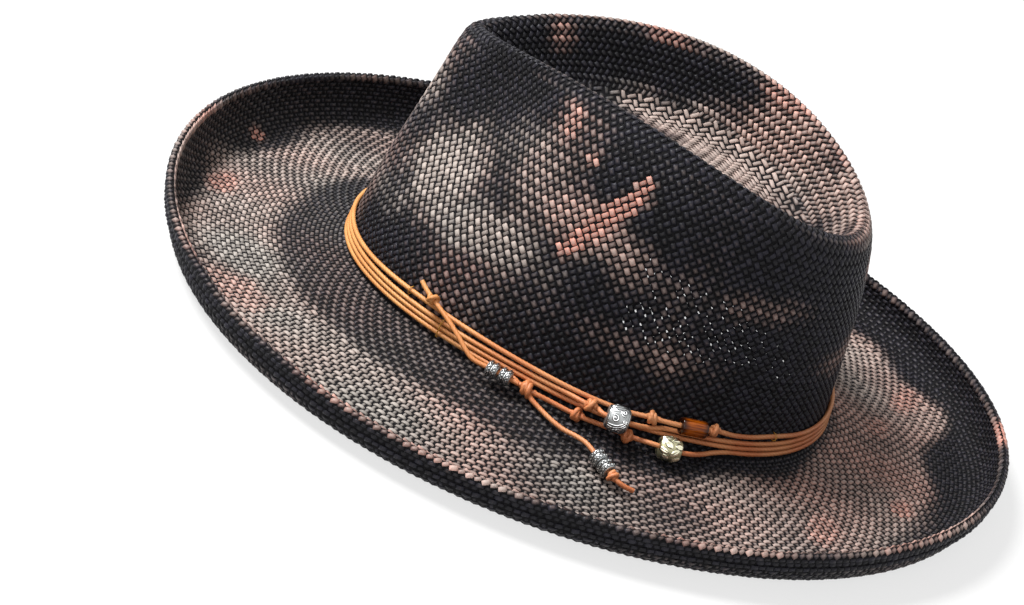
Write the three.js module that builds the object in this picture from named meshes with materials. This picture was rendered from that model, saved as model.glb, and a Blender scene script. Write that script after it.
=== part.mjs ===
// A pinch-front straw cowboy hat with a pencil-rolled brim, a wrapped cord band,
// seven beads and a sweatband. Millimetres, +Z up. The front of the hat faces -Y and
// the wearer's left is +X. The origin is the middle of the hat, on the flat underside
// of the brim that the hat rests on.

import * as THREE from 'three';
import { mergeVertices } from 'three/addons/utils/BufferGeometryUtils.js';

// ---- Driving dimensions ------------------------------------------------------------

const STRAW = 1.2; // thickness of the woven straw
const GAP = 0.3; // clearance between pieces that touch

const BRIM_HALF_WIDTH = 170.6; // middle of the rim to the rolled edge, across
const BRIM_HALF_LENGTH = 178.2; // the same, front to back
const BRIM_FULLNESS = 1.8; // how far the brim's corners swell past an oval
const ROLL_REACH = 15; // how far in from the edge the roll starts
const ROLL_HEIGHT = 17.6; // mean height of the rolled edge
const ROLL_FRONT_LIFT = 1.3; // extra height at the front
const ROLL_END_LIFT = 2.9; // extra height at the front and back over the sides

const HEAD_HALF_WIDTH = 87; // crown at the brim, across, to the middle of the straw
const HEAD_HALF_LENGTH = 105; // the same, front to back
const HEAD_EGG = 0.03; // how much wider the back of the head oval is
const BREAK_HEIGHT = 7.5; // mean height where the crown meets the brim
const BREAK_SAG = 3; // how far the brim dips at the front and back

const CREST_HALF_LENGTH = 88.3; // teardrop ridge on top of the crown
const CREST_SHIFT = 1; // its middle, towards the back
const CREST_HALF_WIDTH = 56;
const CREST_FRONT = 104; // ridge height at the front tip
const CREST_BACK = 94; // ridge height at the back
const CREST_ARCH = 19.5; // rise of the ridge over the line from tip to back
const DENT_DEPTH = 30; // depth of the teardrop dent
const DENT_SHIFT = 14; // how far back of the crest's middle its floor lies
const PINCH_ANGLE = 48; // side dents, degrees round from the front
const PINCH_SPREAD = 26;

const WIRE_RADIUS = 0.5; // steel wire in the rolled edge
const HEM_LENGTH = 6; // straw folded back over the wire

const SWEATBAND_HEIGHT = 32;
const SWEATBAND_THICKNESS = 0.9;
const REED_RADIUS = 0.8; // plastic reed in the sweatband's lower fold

const CORD_RADIUS = 1; // waxed cord of the band
const CORD_SPACE = 0.25; // space between the cords wrapped on the crown
const BAND_HEIGHT = 4.6; // lowest cord over the brim break

const ROUND_STEPS = 44; // steps round the hat

const RONDELLE = { radius: 3.6, length: 4.6 };
const SCROLL = { radius: 5.6, length: 9 };
const LEAF = { radius: 5, length: 9 };
const AMBER = { radius: 3.3, length: 11 };
const KNOT = { radius: 2.3, length: 3.8 };

// ---- Small maths -------------------------------------------------------------------

const DEG = Math.PI / 180;
const UP = new THREE.Vector3(0, 0, 1);
const vec = (x, y, z) => new THREE.Vector3(x, y, z);

function mix(a, b, f) {
  return a + (b - a) * f;
}

function smooth(from, to, value) {
  const f = THREE.MathUtils.clamp((value - from) / (to - from), 0, 1);
  return f * f * (3 - 2 * f);
}

function bump(angle, centre, spread) {
  return Math.exp(-(((angle - centre) / spread) ** 2));
}

// ---- The straw's middle surface ----------------------------------------------------
// Angles run from the front (0) by the wearer's left (90 degrees) to the back (180).

function brimEdge(t) {
  const swell = BRIM_FULLNESS * (Math.cos(t) - Math.cos(3 * t));
  const x = (BRIM_HALF_WIDTH + swell) * Math.sin(t);
  const y = -(BRIM_HALF_LENGTH + swell) * Math.cos(t);
  return vec(x, y, ROLL_HEIGHT + ROLL_FRONT_LIFT * Math.cos(t) + ROLL_END_LIFT * Math.cos(2 * t));
}

function headOval(t) {
  const x = HEAD_HALF_WIDTH * Math.sin(t) * (1 - HEAD_EGG * Math.cos(t));
  return vec(x, -HEAD_HALF_LENGTH * Math.cos(t), BREAK_HEIGHT - BREAK_SAG * Math.cos(2 * t));
}

function fromFront(t) {
  return Math.abs(Math.atan2(Math.sin(t), Math.cos(t)));
}

const teardrop = (a) => Math.sin(a / 2) ** 1.5 * Math.cos(a / 2);
const TEARDROP_PEAK = teardrop(2 * Math.atan(Math.sqrt(1.5)));

function crest(t) {
  const width = (CREST_HALF_WIDTH * teardrop(fromFront(t))) / TEARDROP_PEAK;
  return vec(width * Math.sign(Math.sin(t)), CREST_SHIFT - CREST_HALF_LENGTH * Math.cos(t), 0);
}

function crestHeight(y) {
  const s = THREE.MathUtils.clamp((y - CREST_SHIFT + CREST_HALF_LENGTH) / (2 * CREST_HALF_LENGTH), 0, 1);
  return CREST_FRONT + (CREST_BACK - CREST_FRONT) * s + 4 * CREST_ARCH * s * (1 - s);
}

function pinch(t) {
  const a = fromFront(t) / DEG;
  return Math.max(bump(a, PINCH_ANGLE, PINCH_SPREAD), 0.45 * bump(a, 0, 22));
}

// Control points of the profile at one angle, from the rolled edge to the dent's middle.
function profile(t) {
  const edge = brimEdge(t);
  const oval = headOval(t);
  const top = crest(t);
  const out = vec(edge.x - oval.x, edge.y - oval.y, 0).normalize();
  const flat = STRAW / 2;
  const points = [];
  const add = (base, offset, z) => points.push(vec(base.x + out.x * offset, base.y + out.y * offset, z));

  add(edge, 0, edge.z);
  add(edge, 0.4, edge.z * 0.74);
  add(edge, -0.8, edge.z * 0.36);
  add(edge, -ROLL_REACH * 0.42, flat + edge.z * 0.03);
  for (const reach of [0.85, 1.25, 1.65, 2.05]) {
    add(edge, -ROLL_REACH * reach, flat);
  }
  const run = edge.distanceTo(vec(oval.x, oval.y, edge.z)) - ROLL_REACH * 2.05;
  add(oval, run * 0.62, mix(flat, oval.z, 0.3));
  add(oval, run * 0.3, mix(flat, oval.z, 0.66));
  add(oval, 6, mix(flat, oval.z, 0.92));
  add(oval, 1.8, oval.z);
  add(oval, -0.2, oval.z + 2.2);

  const height = crestHeight(top.y);
  const dentShare = pinch(t);
  for (const rise of [0.08, 0.2, 0.34, 0.48, 0.62, 0.75, 0.86, 0.94]) {
    const shoulder = 0.5 * rise + 0.5 * (1 - Math.sqrt(1 - rise ** 4));
    const lean = mix(shoulder, smooth(0.12, 0.86, rise), dentShare);
    points.push(vec(mix(oval.x, top.x, lean), mix(oval.y, top.y, lean), mix(oval.z, height, rise)));
  }
  points.push(vec(mix(oval.x, top.x, 0.97), mix(oval.y, top.y, 0.97), height + 0.6));
  const floor = vec(0, CREST_SHIFT + DENT_SHIFT, 0);
  const dent = [[0.955, 0.01], [0.9, 0.3], [0.83, 0.68], [0.74, 0.95], [0.62, 1.03], [0.45, 1],
    [0.25, 0.95], [0.1, 0.93], [0, 0.92]];
  for (const [share, depth] of dent) {
    const y = mix(floor.y, top.y, share);
    points.push(vec(top.x * share, y, crestHeight(y) - DENT_DEPTH * depth));
  }
  return points;
}

// Uniform cubic B-spline through a profile: place is counted in control points.
function onProfile(points, place) {
  const last = points.length - 1;
  const i = Math.min(Math.floor(place), last - 1);
  const f = place - i;
  const at = (k) => {
    if (k < 0) return points[0].clone().multiplyScalar(2).sub(points[1]);
    if (k > last) return points[last].clone().multiplyScalar(2).sub(points[last - 1]);
    return points[k];
  };
  const weights = [(1 - f) ** 3, 3 * f ** 3 - 6 * f ** 2 + 4, -3 * f ** 3 + 3 * f ** 2 + 3 * f + 1, f ** 3];
  const p = vec(0, 0, 0);
  weights.forEach((w, k) => p.addScaledVector(at(i - 1 + k), w / 6));
  return p;
}

// A point of the middle surface, with its normal on the sunny side.
function surface(t, place) {
  const step = 0.004;
  const here = profile(t);
  const p = onProfile(here, place);
  const before = Math.max(place - 0.02, 0);
  const along = onProfile(here, before + 0.04).sub(onProfile(here, before));
  const round = onProfile(profile(t + step), place).sub(onProfile(profile(t - step), place));
  return { p, along: along.normalize(), normal: round.cross(along).normalize() };
}

const CENTRE_PLACE = 30;
const BRIM_PLACES = [2, 11.5];
const WALL_PLACES = [11, 20];

// The point at a clear height over the straw's face, at a given level on the crown wall.
function overWall(t, z, lift) {
  let [low, high] = WALL_PLACES;
  let p = vec(0, 0, 0);
  for (let i = 0; i < 26; i += 1) {
    const middle = (low + high) / 2;
    const s = surface(t, middle);
    p = s.p.addScaledVector(s.normal, lift + (Math.sign(lift) * STRAW) / 2);
    if (p.z < z) low = middle;
    else high = middle;
  }
  return p;
}

// ---- Mesh builders -----------------------------------------------------------------

// A closed body from a ring of outlines: rows[i][j] is point j of the outline at step i.
function closedSweep(rows) {
  const n = rows.length;
  const m = rows[0].length;
  const index = [];
  for (let i = 0; i < n; i += 1) {
    for (let j = 0; j < m; j += 1) {
      const a = i * m + j;
      const b = ((i + 1) % n) * m + j;
      const c = ((i + 1) % n) * m + ((j + 1) % m);
      const d = i * m + ((j + 1) % m);
      index.push(a, b, c, a, c, d);
    }
  }
  const geometry = new THREE.BufferGeometry().setFromPoints(rows.flat());
  geometry.setIndex(index);
  return geometry;
}

function facingOut(geometry) {
  const p = geometry.getAttribute('position');
  const index = geometry.getIndex();
  let volume = 0;
  for (let i = 0; i < index.count; i += 3) {
    const [a, b, c] = [0, 1, 2].map((k) => new THREE.Vector3().fromBufferAttribute(p, index.getX(i + k)));
    volume += a.dot(b.cross(c));
  }
  if (volume < 0) index.array.reverse();
  return geometry;
}

function angles(count) {
  return Array.from({ length: count }, (_, i) => (i * 2 * Math.PI) / count);
}

// A round section of a ring-shaped cord, at one point of its route.
function section(centre, forward, outward, radius, sides) {
  const side = outward.clone().addScaledVector(forward, -outward.dot(forward)).normalize();
  const other = forward.clone().cross(side).normalize();
  return angles(sides).map((a) => centre.clone()
    .addScaledVector(side, radius * Math.cos(a)).addScaledVector(other, radius * Math.sin(a)));
}

function ringCord(route, outward, radius, sides = 6) {
  const n = route.length;
  const rows = route.map((p, i) => {
    const before = p.clone().sub(route[(i + n - 1) % n]).normalize();
    const after = route[(i + 1) % n].clone().sub(p).normalize();
    return section(p, before.add(after).normalize(), outward[i], radius, sides);
  });
  return facingOut(closedSweep(rows));
}

// A round cord along a route that stays straight between its points.
function openCord(points, steps, sides, radius = CORD_RADIUS) {
  const corners = angles(sides).map((a) => new THREE.Vector2(radius * Math.cos(a), radius * Math.sin(a)));
  const shape = new THREE.Shape(corners);
  const path = new THREE.CatmullRomCurve3(points, false, 'centripetal');
  return new THREE.ExtrudeGeometry(shape, { steps, extrudePath: path, bevelEnabled: false });
}

// A turned bead with a hole for its cord, along the line between two points.
function threaded(profilePoints, from, to, share = 0.5, sides = 12) {
  const outline = profilePoints.map(([r, y]) => new THREE.Vector2(r, y));
  outline.push(outline[0].clone());
  const geometry = new THREE.LatheGeometry(outline, sides);
  geometry.deleteAttribute('normal');
  geometry.deleteAttribute('uv');
  const solid = mergeVertices(geometry, 1e-4);
  const axis = to.clone().sub(from).normalize();
  solid.applyQuaternion(new THREE.Quaternion().setFromUnitVectors(vec(0, 1, 0), axis));
  const centre = from.clone().lerp(to, share);
  solid.translate(centre.x, centre.y, centre.z);
  return facingOut(solid);
}

const hole = (sides) => (CORD_RADIUS + GAP) / Math.cos(Math.PI / sides) + 0.02;

function beadProfile({ radius, length }, shoulder, sides = 12) {
  const r = hole(sides);
  const half = length / 2;
  const rim = mix(r, radius, shoulder);
  return [[r, -half], [rim, -half], [mix(rim, radius, 0.75), -half * 0.72], [radius, -half * 0.3],
    [radius, half * 0.3], [mix(rim, radius, 0.75), half * 0.72], [rim, half], [r, half]];
}

function tubeProfile({ radius, length }, chamfer, sides = 12) {
  const r = hole(sides);
  const half = length / 2;
  return [[r, -half], [radius - chamfer, -half], [radius, -half + chamfer], [radius, half - chamfer],
    [radius - chamfer, half], [r, half]];
}

const hat = new THREE.Group();

function place(name, geometry, look) {
  const mesh = new THREE.Mesh(geometry, new THREE.MeshStandardMaterial(look));
  mesh.name = name;
  hat.add(mesh);
  return mesh;
}

const STRAW_LOOK = { color: 0x26232b, roughness: 0.62, metalness: 0 };
const CORD_LOOK = { color: 0xb77a55, roughness: 0.6, metalness: 0 };
const SILVER_LOOK = { color: 0xa9adae, roughness: 0.3, metalness: 0.9 };
const PALE_GOLD_LOOK = { color: 0xb9b48f, roughness: 0.3, metalness: 0.9 };
const AMBER_LOOK = { color: 0x5c2a08, roughness: 0.12, metalness: 0 };
const STEEL_LOOK = { color: 0x8d8f92, roughness: 0.35, metalness: 0.9 };
const SWEATBAND_LOOK = { color: 0x17161a, roughness: 0.85, metalness: 0 };
const REED_LOOK = { color: 0xd9d7cf, roughness: 0.4, metalness: 0 };
const THREAD_LOOK = { color: 0xc08a2e, roughness: 0.7, metalness: 0 };

// ---- Straw body: crown, brim, rolled edge and the hem round the wire -----------------

const HEM_CORE = WIRE_RADIUS + GAP; // inside of the fold
const HEM_RADIUS = HEM_CORE + STRAW; // outside of the fold
const HEM_AXIS = STRAW / 2 + HEM_CORE; // from the middle surface to the wire
const SHELL_PLACES = [0.7, 1.6, 2.5, 3.7, 5, 6, 7.4, 8.8, 10, 11, 11.5, 12, 13, 14, 14.7, 15.5, 17, 18.5, 19.5, 20.3,
  21, 21.6, 22.3, 23, 24, 24.7, 25.5, 26.4, 28];

// Points of the fold, each as [past the edge, away from the sunny side].
function hemOutline() {
  const arc = (radius, from, to, count) => Array.from({ length: count }, (_, i) => {
    const a = mix(from, to, i / (count - 1)) * DEG;
    return [radius * Math.cos(a), HEM_AXIS - radius * Math.sin(a)];
  });
  const near = STRAW / 2 + GAP;
  const outside = arc(HEM_RADIUS, 90, -90, 5);
  const inside = arc(HEM_CORE, -90, 90, 4);
  return [...outside, [-HEM_RADIUS * 1.4, near + STRAW], [-HEM_LENGTH, near + STRAW], [-HEM_LENGTH, near],
    [-HEM_RADIUS * 1.4, near], ...inside];
}

function edgeFrame(t) {
  const s = surface(t, 0);
  return { p: s.p, past: s.along.clone().negate(), under: s.normal.clone().negate() };
}

function strawBody() {
  const rows = angles(ROUND_STEPS).map((t) => {
    const edge = edgeFrame(t);
    const fold = hemOutline().map(([past, under]) => edge.p.clone()
      .addScaledVector(edge.past, past).addScaledVector(edge.under, under));
    const faces = SHELL_PLACES.map((u) => surface(t, u));
    const top = faces.map((s) => s.p.clone().addScaledVector(s.normal, STRAW / 2));
    const below = faces.map((s) => s.p.clone().addScaledVector(s.normal, -STRAW / 2));
    return [...top.reverse(), ...fold, ...below];
  });
  const n = rows.length;
  const m = rows[0].length;
  const middle = onProfile(profile(0), CENTRE_PLACE);
  const points = [...rows.flat(), middle.clone().addScaledVector(UP, STRAW / 2),
    middle.clone().addScaledVector(UP, -STRAW / 2)];
  const index = [];
  for (let i = 0; i < n; i += 1) {
    const next = ((i + 1) % n) * m;
    for (let j = 0; j < m - 1; j += 1) {
      index.push(i * m + j, next + j, next + j + 1, i * m + j, next + j + 1, i * m + j + 1);
    }
    index.push(n * m, next, i * m);
    index.push(n * m + 1, i * m + m - 1, next + m - 1);
  }
  const geometry = new THREE.BufferGeometry().setFromPoints(points);
  geometry.setIndex(index);
  return facingOut(geometry);
}

place('straw_body', strawBody(), STRAW_LOOK);

function brimWire() {
  const edges = angles(ROUND_STEPS).map(edgeFrame);
  const route = edges.map((e) => e.p.clone().addScaledVector(e.under, HEM_AXIS));
  return ringCord(route, edges.map((e) => e.under), WIRE_RADIUS);
}

place('brim_wire', brimWire(), STEEL_LOOK);

// ---- Sweatband, folded up round its reed --------------------------------------------

const FOLD_LEVEL = 5.2; // reed over the brim break
const FOLD_CORE = (REED_RADIUS + GAP) / Math.cos(30 * DEG); // inside of the fold, bent in three
const FOLD_INSET = GAP + SWEATBAND_THICKNESS + FOLD_CORE; // reed from the crown's inner face

function insideCrown(t, level, inset) {
  const z = headOval(t).z + level;
  const face = overWall(t, z, -0.001);
  const inward = vec(-face.x, -face.y, 0).normalize();
  return face.addScaledVector(inward, inset);
}

function sweatband() {
  const sheet = SWEATBAND_THICKNESS;
  const core = FOLD_CORE;
  const leg = FOLD_LEVEL + 3.2;
  const neck = FOLD_LEVEL + 4.5;
  const arc = (radius, from, to) => [0, 0.34, 0.66, 1].map((f) => {
    const a = mix(from, to, f) * DEG;
    return [FOLD_LEVEL - radius * Math.sin(a), FOLD_INSET + radius * Math.cos(a)];
  });
  const outline = [[leg, GAP], ...arc(core + sheet, 180, 0), [neck, GAP * 2 + sheet * 2 + 0.2],
    [SWEATBAND_HEIGHT, GAP + sheet + 0.3], [SWEATBAND_HEIGHT, GAP + 0.3], [neck, GAP * 2 + sheet + 0.2],
    ...arc(core, 0, 180), [leg, GAP + sheet]];
  return facingOut(closedSweep(angles(ROUND_STEPS).map((t) => outline.map(([level, inset]) =>
    insideCrown(t, level, inset)))));
}

place('sweatband', sweatband(), SWEATBAND_LOOK);

function reed() {
  const route = angles(ROUND_STEPS).map((t) => insideCrown(t, FOLD_LEVEL, FOLD_INSET));
  return ringCord(route, route.map((p) => vec(p.x, p.y, 0).normalize()), REED_RADIUS);
}

place('sweatband_reed', reed(), REED_LOOK);

// ---- Cord band ----------------------------------------------------------------------

const CORD_PITCH = 2 * CORD_RADIUS + CORD_SPACE;

// The level of a wrapped cord over the hat's base: cord 0 is the lowest.
function cordLevel(t, row) {
  const a = t / DEG;
  const dip = row > 0 ? 1.2 * bump(a, 108, 16) : 0;
  const loose = row === 3 ? 1.5 * bump(a, 62, 22) + 1.1 * bump(a, 152, 9) : 0;
  return headOval(t).z + BAND_HEIGHT + CORD_PITCH * row - dip + loose;
}

const SNUG = GAP + CORD_RADIUS; // cord centre over the straw's face
const STEPS = angles(ROUND_STEPS).map((t) => Math.round(t / DEG * 100) / 100);

function snugRoute(row) {
  return STEPS.map((a) => ({ a, p: overWall(a * DEG, cordLevel(a * DEG, row), SNUG) }));
}

// A cord with stations off the wall: each is [degrees, lift over a snug cord, level change].
function liftedRoute(row, stations) {
  const first = stations[0][0];
  const last = stations[stations.length - 1][0];
  const kept = snugRoute(row).filter(({ a }) => a < first - 2 || a > last + 2);
  const lifted = stations.map(([a, lift, drop]) => ({
    a, p: overWall(a * DEG, cordLevel(a * DEG, row) + drop, SNUG + lift),
  }));
  return [...kept, ...lifted].sort((p, q) => p.a - q.a);
}

// Stations over the brim, beside the crown: each is [degrees, outward, over the brim break].
function brimRoute(row, stations) {
  const first = stations[0][0];
  const last = stations[stations.length - 1][0];
  const kept = snugRoute(row).filter(({ a }) => a < first - 2 || a > last + 2);
  const beside = stations.map(([a, outward, over]) => {
    const oval = headOval(a * DEG);
    const edge = brimEdge(a * DEG);
    const out = vec(edge.x - oval.x, edge.y - oval.y, 0).normalize();
    return { a, p: oval.addScaledVector(out, outward).addScaledVector(UP, over) };
  });
  return [...kept, ...beside].sort((p, q) => p.a - q.a);
}

function cordRing(route) {
  const points = route.map(({ p }) => p);
  return ringCord(points, points.map((p) => vec(p.x, p.y, 0).normalize()), CORD_RADIUS);
}

const LOWER = brimRoute(0, [
  [84, 1.75, 4.6], [88.6, 1.8, 4.5], [91.4, 4.9, 4.6], [94.4, 5.2, 4.3], [98, 4.3, 3.6], [102.6, 4.6, 3.1],
  [105.4, 4.7, 3.0], [109, 3.9, 2.7], [113.4, 4.8, 3.0], [116.6, 5.4, 3.1], [120.6, 8.2, 4.6], [127, 9.3, 4.9],
  [131, 6.4, 4.2], [135.5, 3.2, 4.4],
]);
const MIDDLE = liftedRoute(2, [
  [101.5, 1.1, 0.4], [104.6, 3.4, 1.1], [107.2, 3.5, 1.1], [108.9, 6.7, 1.4], [114.6, 6.9, 1.5], [118.8, 2.3, -0.3],
  [122.5, 0.3, 0],
]);
const UPPER = liftedRoute(3, [
  [114.6, 0.2, 0.2], [117.9, 1.3, 1.15], [120.6, 1.3, 1.15], [124.9, 2.3, 1.7], [132.1, 2.3, 1.95],
  [132.7, 1.6, 2.05], [135.1, 1.3, 2], [139.5, 0.2, 0.6],
]);

place('band_cord_1', cordRing(LOWER), CORD_LOOK);
place('band_cord_2', cordRing(snugRoute(1)), CORD_LOOK);
place('band_cord_3', cordRing(MIDDLE), CORD_LOOK);
place('band_cord_4', cordRing(UPPER), CORD_LOOK);

// A bead or knot on the straight stretch of a route that starts at the given angle.
function onRoute(route, start, outline, sides) {
  const i = route.findIndex(({ a }) => a === start);
  return threaded(outline, route[i].p, route[i + 1].p, 0.5, sides);
}

const knotOutline = beadProfile(KNOT, 0.55, 10);
place('knot_1', onRoute(LOWER, 91.4, beadProfile({ radius: 2.6, length: 4.2 }, 0.55, 10), 10), CORD_LOOK);
place('knot_2', onRoute(LOWER, 102.6, knotOutline, 10), CORD_LOOK);
place('knot_3', onRoute(MIDDLE, 104.6, knotOutline, 10), CORD_LOOK);
place('knot_4', onRoute(LOWER, 113.4, knotOutline, 10), CORD_LOOK);
place('knot_5', onRoute(UPPER, 117.9, knotOutline, 10), CORD_LOOK);
place('knot_6', onRoute(UPPER, 132.7, knotOutline, 10), CORD_LOOK);
place('scroll_bead', onRoute(MIDDLE, 108.9, beadProfile(SCROLL, 0.45, 16), 16), SILVER_LOOK);
place('leaf_bead', onRoute(LOWER, 120.6, beadProfile(LEAF, 0.45, 16), 16), PALE_GOLD_LOOK);
place('amber_bead', onRoute(UPPER, 124.9, tubeProfile(AMBER, 0.4), 12), AMBER_LOOK);

// ---- Loose ends of the cord -----------------------------------------------------------

// From the first knot, through the slider beads and up over the band to a cut tip.
const LOOSE_END = [
  vec(93.6, 1.7, 16.2), vec(93.4, -4, 16.3), vec(93.2, -9.7, 16.4), vec(92.9, -18.8, 16.6), vec(91.7, -22.8, 18.3),
  vec(89.8, -27, 20.4), vec(86.9, -33, 22.9), vec(83.9, -39.5, 25), vec(81.6, -44.2, 26.3), vec(79.6, -48, 27.5),
  vec(77.6, -51.4, 29),
];
// From under the first knot, across the brim and through two beads to a cut tip.
const TAIL = [
  vec(94.4, 8.7, 13), vec(95.9, 13.6, 11.8), vec(98, 19.4, 10.9), vec(99.5, 25.2, 10.4), vec(100.3, 30.8, 10.7),
  vec(101.8, 35.9, 10.8), vec(105.7, 42.8, 9.6), vec(108.2, 47.2, 8.8), vec(111.6, 53.2, 7.7),
  vec(111.2, 56.8, 6.7), vec(109.5, 60.2, 5.8),
];
place('loose_end_cord', openCord(LOOSE_END, 26, 8), CORD_LOOK);
place('tail_cord', openCord(TAIL, 26, 8), CORD_LOOK);

const rondelle = beadProfile(RONDELLE, 0.6);
place('slider_bead_1', threaded(rondelle, LOOSE_END[1], LOOSE_END[2], 0), SILVER_LOOK);
place('slider_bead_2', threaded(rondelle, LOOSE_END[1], LOOSE_END[2], 1), SILVER_LOOK);
place('tail_bead_1', threaded(rondelle, TAIL[6], TAIL[7], 0), SILVER_LOOK);
place('tail_bead_2', threaded(rondelle, TAIL[6], TAIL[7], 1), SILVER_LOOK);
place('loose_end_knot', threaded(knotOutline, LOOSE_END[7], LOOSE_END[9], 0.5, 10), CORD_LOOK);
place('tail_knot', threaded(knotOutline, TAIL[7], TAIL[8], 0.66, 10), CORD_LOOK);

// ---- Thread tacks that hold the cords down ----------------------------------------------

const THREAD_RADIUS = 0.25;

// A thread over the cords from one row to another, with both ends turned back to the straw.
function tack(degrees, firstRow, lastRow) {
  const t = degrees * DEG;
  const reach = CORD_RADIUS + GAP + THREAD_RADIUS;
  const turn = (row, from, to) => [0, 0.33, 0.67, 1].map((f) => {
    const a = mix(from, to, f) * DEG;
    return overWall(t, cordLevel(t, row) + reach * Math.sin(a), SNUG + reach * Math.cos(a));
  });
  return openCord([...turn(firstRow, -105, 0), ...turn(lastRow, 0, 105)], 12, 6, THREAD_RADIUS);
}

place('thread_tack_1', tack(58.8, 3, 3), THREAD_LOOK);
place('thread_tack_2', tack(69.8, 0, 2), THREAD_LOOK);
place('thread_tack_3', tack(152.2, 3, 3), THREAD_LOOK);

export default hat;
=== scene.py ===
# %% [markdown]
# A pinch-front straw cowboy hat with a pencil-rolled brim, a band of waxed cord with
# seven beads, and a cloth sweatband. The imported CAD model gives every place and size, so
# each piece here is made in the same frame: metres, +Z up, the front of the hat at -Y and
# the wearer's left at +X. Shapes are worked out in millimetres and scaled once, at the end.

import math
import bpy
import numpy as np
from mathutils import Matrix, Vector


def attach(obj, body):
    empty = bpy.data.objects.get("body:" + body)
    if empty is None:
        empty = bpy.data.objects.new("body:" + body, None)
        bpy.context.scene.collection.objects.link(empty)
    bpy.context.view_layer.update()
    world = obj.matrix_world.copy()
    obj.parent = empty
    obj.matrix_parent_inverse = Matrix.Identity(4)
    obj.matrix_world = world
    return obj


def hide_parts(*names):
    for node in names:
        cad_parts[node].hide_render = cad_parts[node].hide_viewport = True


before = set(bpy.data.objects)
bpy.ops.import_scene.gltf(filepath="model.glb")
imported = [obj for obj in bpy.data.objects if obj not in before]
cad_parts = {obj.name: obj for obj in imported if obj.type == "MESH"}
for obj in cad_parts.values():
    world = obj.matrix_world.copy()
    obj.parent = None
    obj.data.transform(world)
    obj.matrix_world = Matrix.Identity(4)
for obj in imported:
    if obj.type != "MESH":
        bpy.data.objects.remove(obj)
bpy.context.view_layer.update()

# %% [markdown]
# The camera stands at the wearer's left, a little behind the middle of the hat, and looks
# down at 26 degrees. It is rolled, because the hat is seen lying on a slope. A long lens
# from over a metre away keeps the brim's ellipse calm. It could be aimed with a constraint,
# but a matrix says the roll and the aim together and leaves nothing live in the scene.

# %% Camera
AZIMUTH, ELEVATION, ROLL = math.radians(100.03), math.radians(26.07), math.radians(21.87)
CAMERA_DISTANCE = 1.15349
LENS_MM, SENSOR_MM = 98.44, 36
AIM_RIGHT, AIM_UP = -0.0242, 0.01134  # where the hat sits beside the middle of the view

level_share = math.cos(ELEVATION)
back = Vector((math.sin(AZIMUTH) * level_share, -math.cos(AZIMUTH) * level_share, math.sin(ELEVATION)))
level_right = (-back).cross(Vector((0, 0, 1))).normalized()
level_up = level_right.cross(-back)
rolled_right = math.cos(ROLL) * level_right + math.sin(ROLL) * level_up
rolled_up = -math.sin(ROLL) * level_right + math.cos(ROLL) * level_up
aim = (-back + AIM_RIGHT * rolled_right + AIM_UP * rolled_up).normalized()
camera_right = aim.cross(rolled_up).normalized()
camera_up = camera_right.cross(aim)

lens = bpy.data.cameras.new("camera")
lens.lens = LENS_MM
lens.sensor_width = SENSOR_MM
lens.clip_start, lens.clip_end = 0.01, 100
camera = bpy.data.objects.new("camera", lens)
turn = Matrix((camera_right, camera_up, -aim)).transposed().to_4x4()
camera.matrix_world = Matrix.Translation(back * CAMERA_DISTANCE) @ turn
bpy.context.scene.collection.objects.link(camera)
bpy.context.scene.camera = camera
print("camera stands at", tuple(round(v, 3) for v in camera.location))

# %% [markdown]
# The straw is one woven surface from the rolled rim to the middle of the crown's dent. Its
# middle surface follows a rule: at each angle round the hat, 31 control points run from the
# edge to the dent, and a cubic B-spline passes through them. A surface could be sculpted
# instead, but a rule gives every straw its exact place, and keeps the look on the CAD.

# %% Sizes of the straw body, in millimetres
MM = 0.001
STRAW, GAP = 1.2, 0.3
BRIM_HALF_WIDTH, BRIM_HALF_LENGTH, BRIM_FULLNESS = 170.6, 178.2, 1.8
ROLL_REACH, ROLL_HEIGHT, ROLL_FRONT_LIFT, ROLL_END_LIFT = 15, 17.6, 1.3, 2.9
HEAD_HALF_WIDTH, HEAD_HALF_LENGTH, HEAD_EGG = 87, 105, 0.03
BREAK_HEIGHT, BREAK_SAG = 7.5, 3
CREST_HALF_LENGTH, CREST_SHIFT, CREST_HALF_WIDTH = 88.3, 1, 56
CREST_FRONT, CREST_BACK, CREST_ARCH = 104, 94, 19.5
DENT_DEPTH, DENT_SHIFT = 30, 14
PINCH_ANGLE, PINCH_SPREAD = 48, 26
FULL_TURN = 2 * math.pi
AROUND = np.linspace(0, FULL_TURN, 721)  # sample angles round the hat, closed


# %% Small maths
def mix(a, b, f):
    return a + (b - a) * f


def smooth(low, high, value):
    f = np.clip((value - low) / (high - low), 0, 1)
    return f * f * (3 - 2 * f)


def bump(angle, centre, spread):
    return np.exp(-(((angle - centre) / spread) ** 2))


def unit(v):
    return v / np.maximum(np.linalg.norm(v, axis=-1, keepdims=True), 1e-12)


def along_line(line):
    """The distance from the first point of a line to each of its points."""
    steps = np.linalg.norm(np.diff(line, axis=0), axis=1)
    return np.concatenate([[0], np.cumsum(steps)])


# %% The rule of the middle surface
def brim_edge(t):
    swell = BRIM_FULLNESS * (np.cos(t) - np.cos(3 * t))
    x = (BRIM_HALF_WIDTH + swell) * np.sin(t)
    y = -(BRIM_HALF_LENGTH + swell) * np.cos(t)
    return np.stack([x, y, ROLL_HEIGHT + ROLL_FRONT_LIFT * np.cos(t) + ROLL_END_LIFT * np.cos(2 * t)], -1)


def head_oval(t):
    x = HEAD_HALF_WIDTH * np.sin(t) * (1 - HEAD_EGG * np.cos(t))
    return np.stack([x, -HEAD_HALF_LENGTH * np.cos(t), BREAK_HEIGHT - BREAK_SAG * np.cos(2 * t)], -1)


def from_front(t):
    return np.abs(np.arctan2(np.sin(t), np.cos(t)))


def teardrop(a):
    return np.sin(a / 2) ** 1.5 * np.cos(a / 2)


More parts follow.
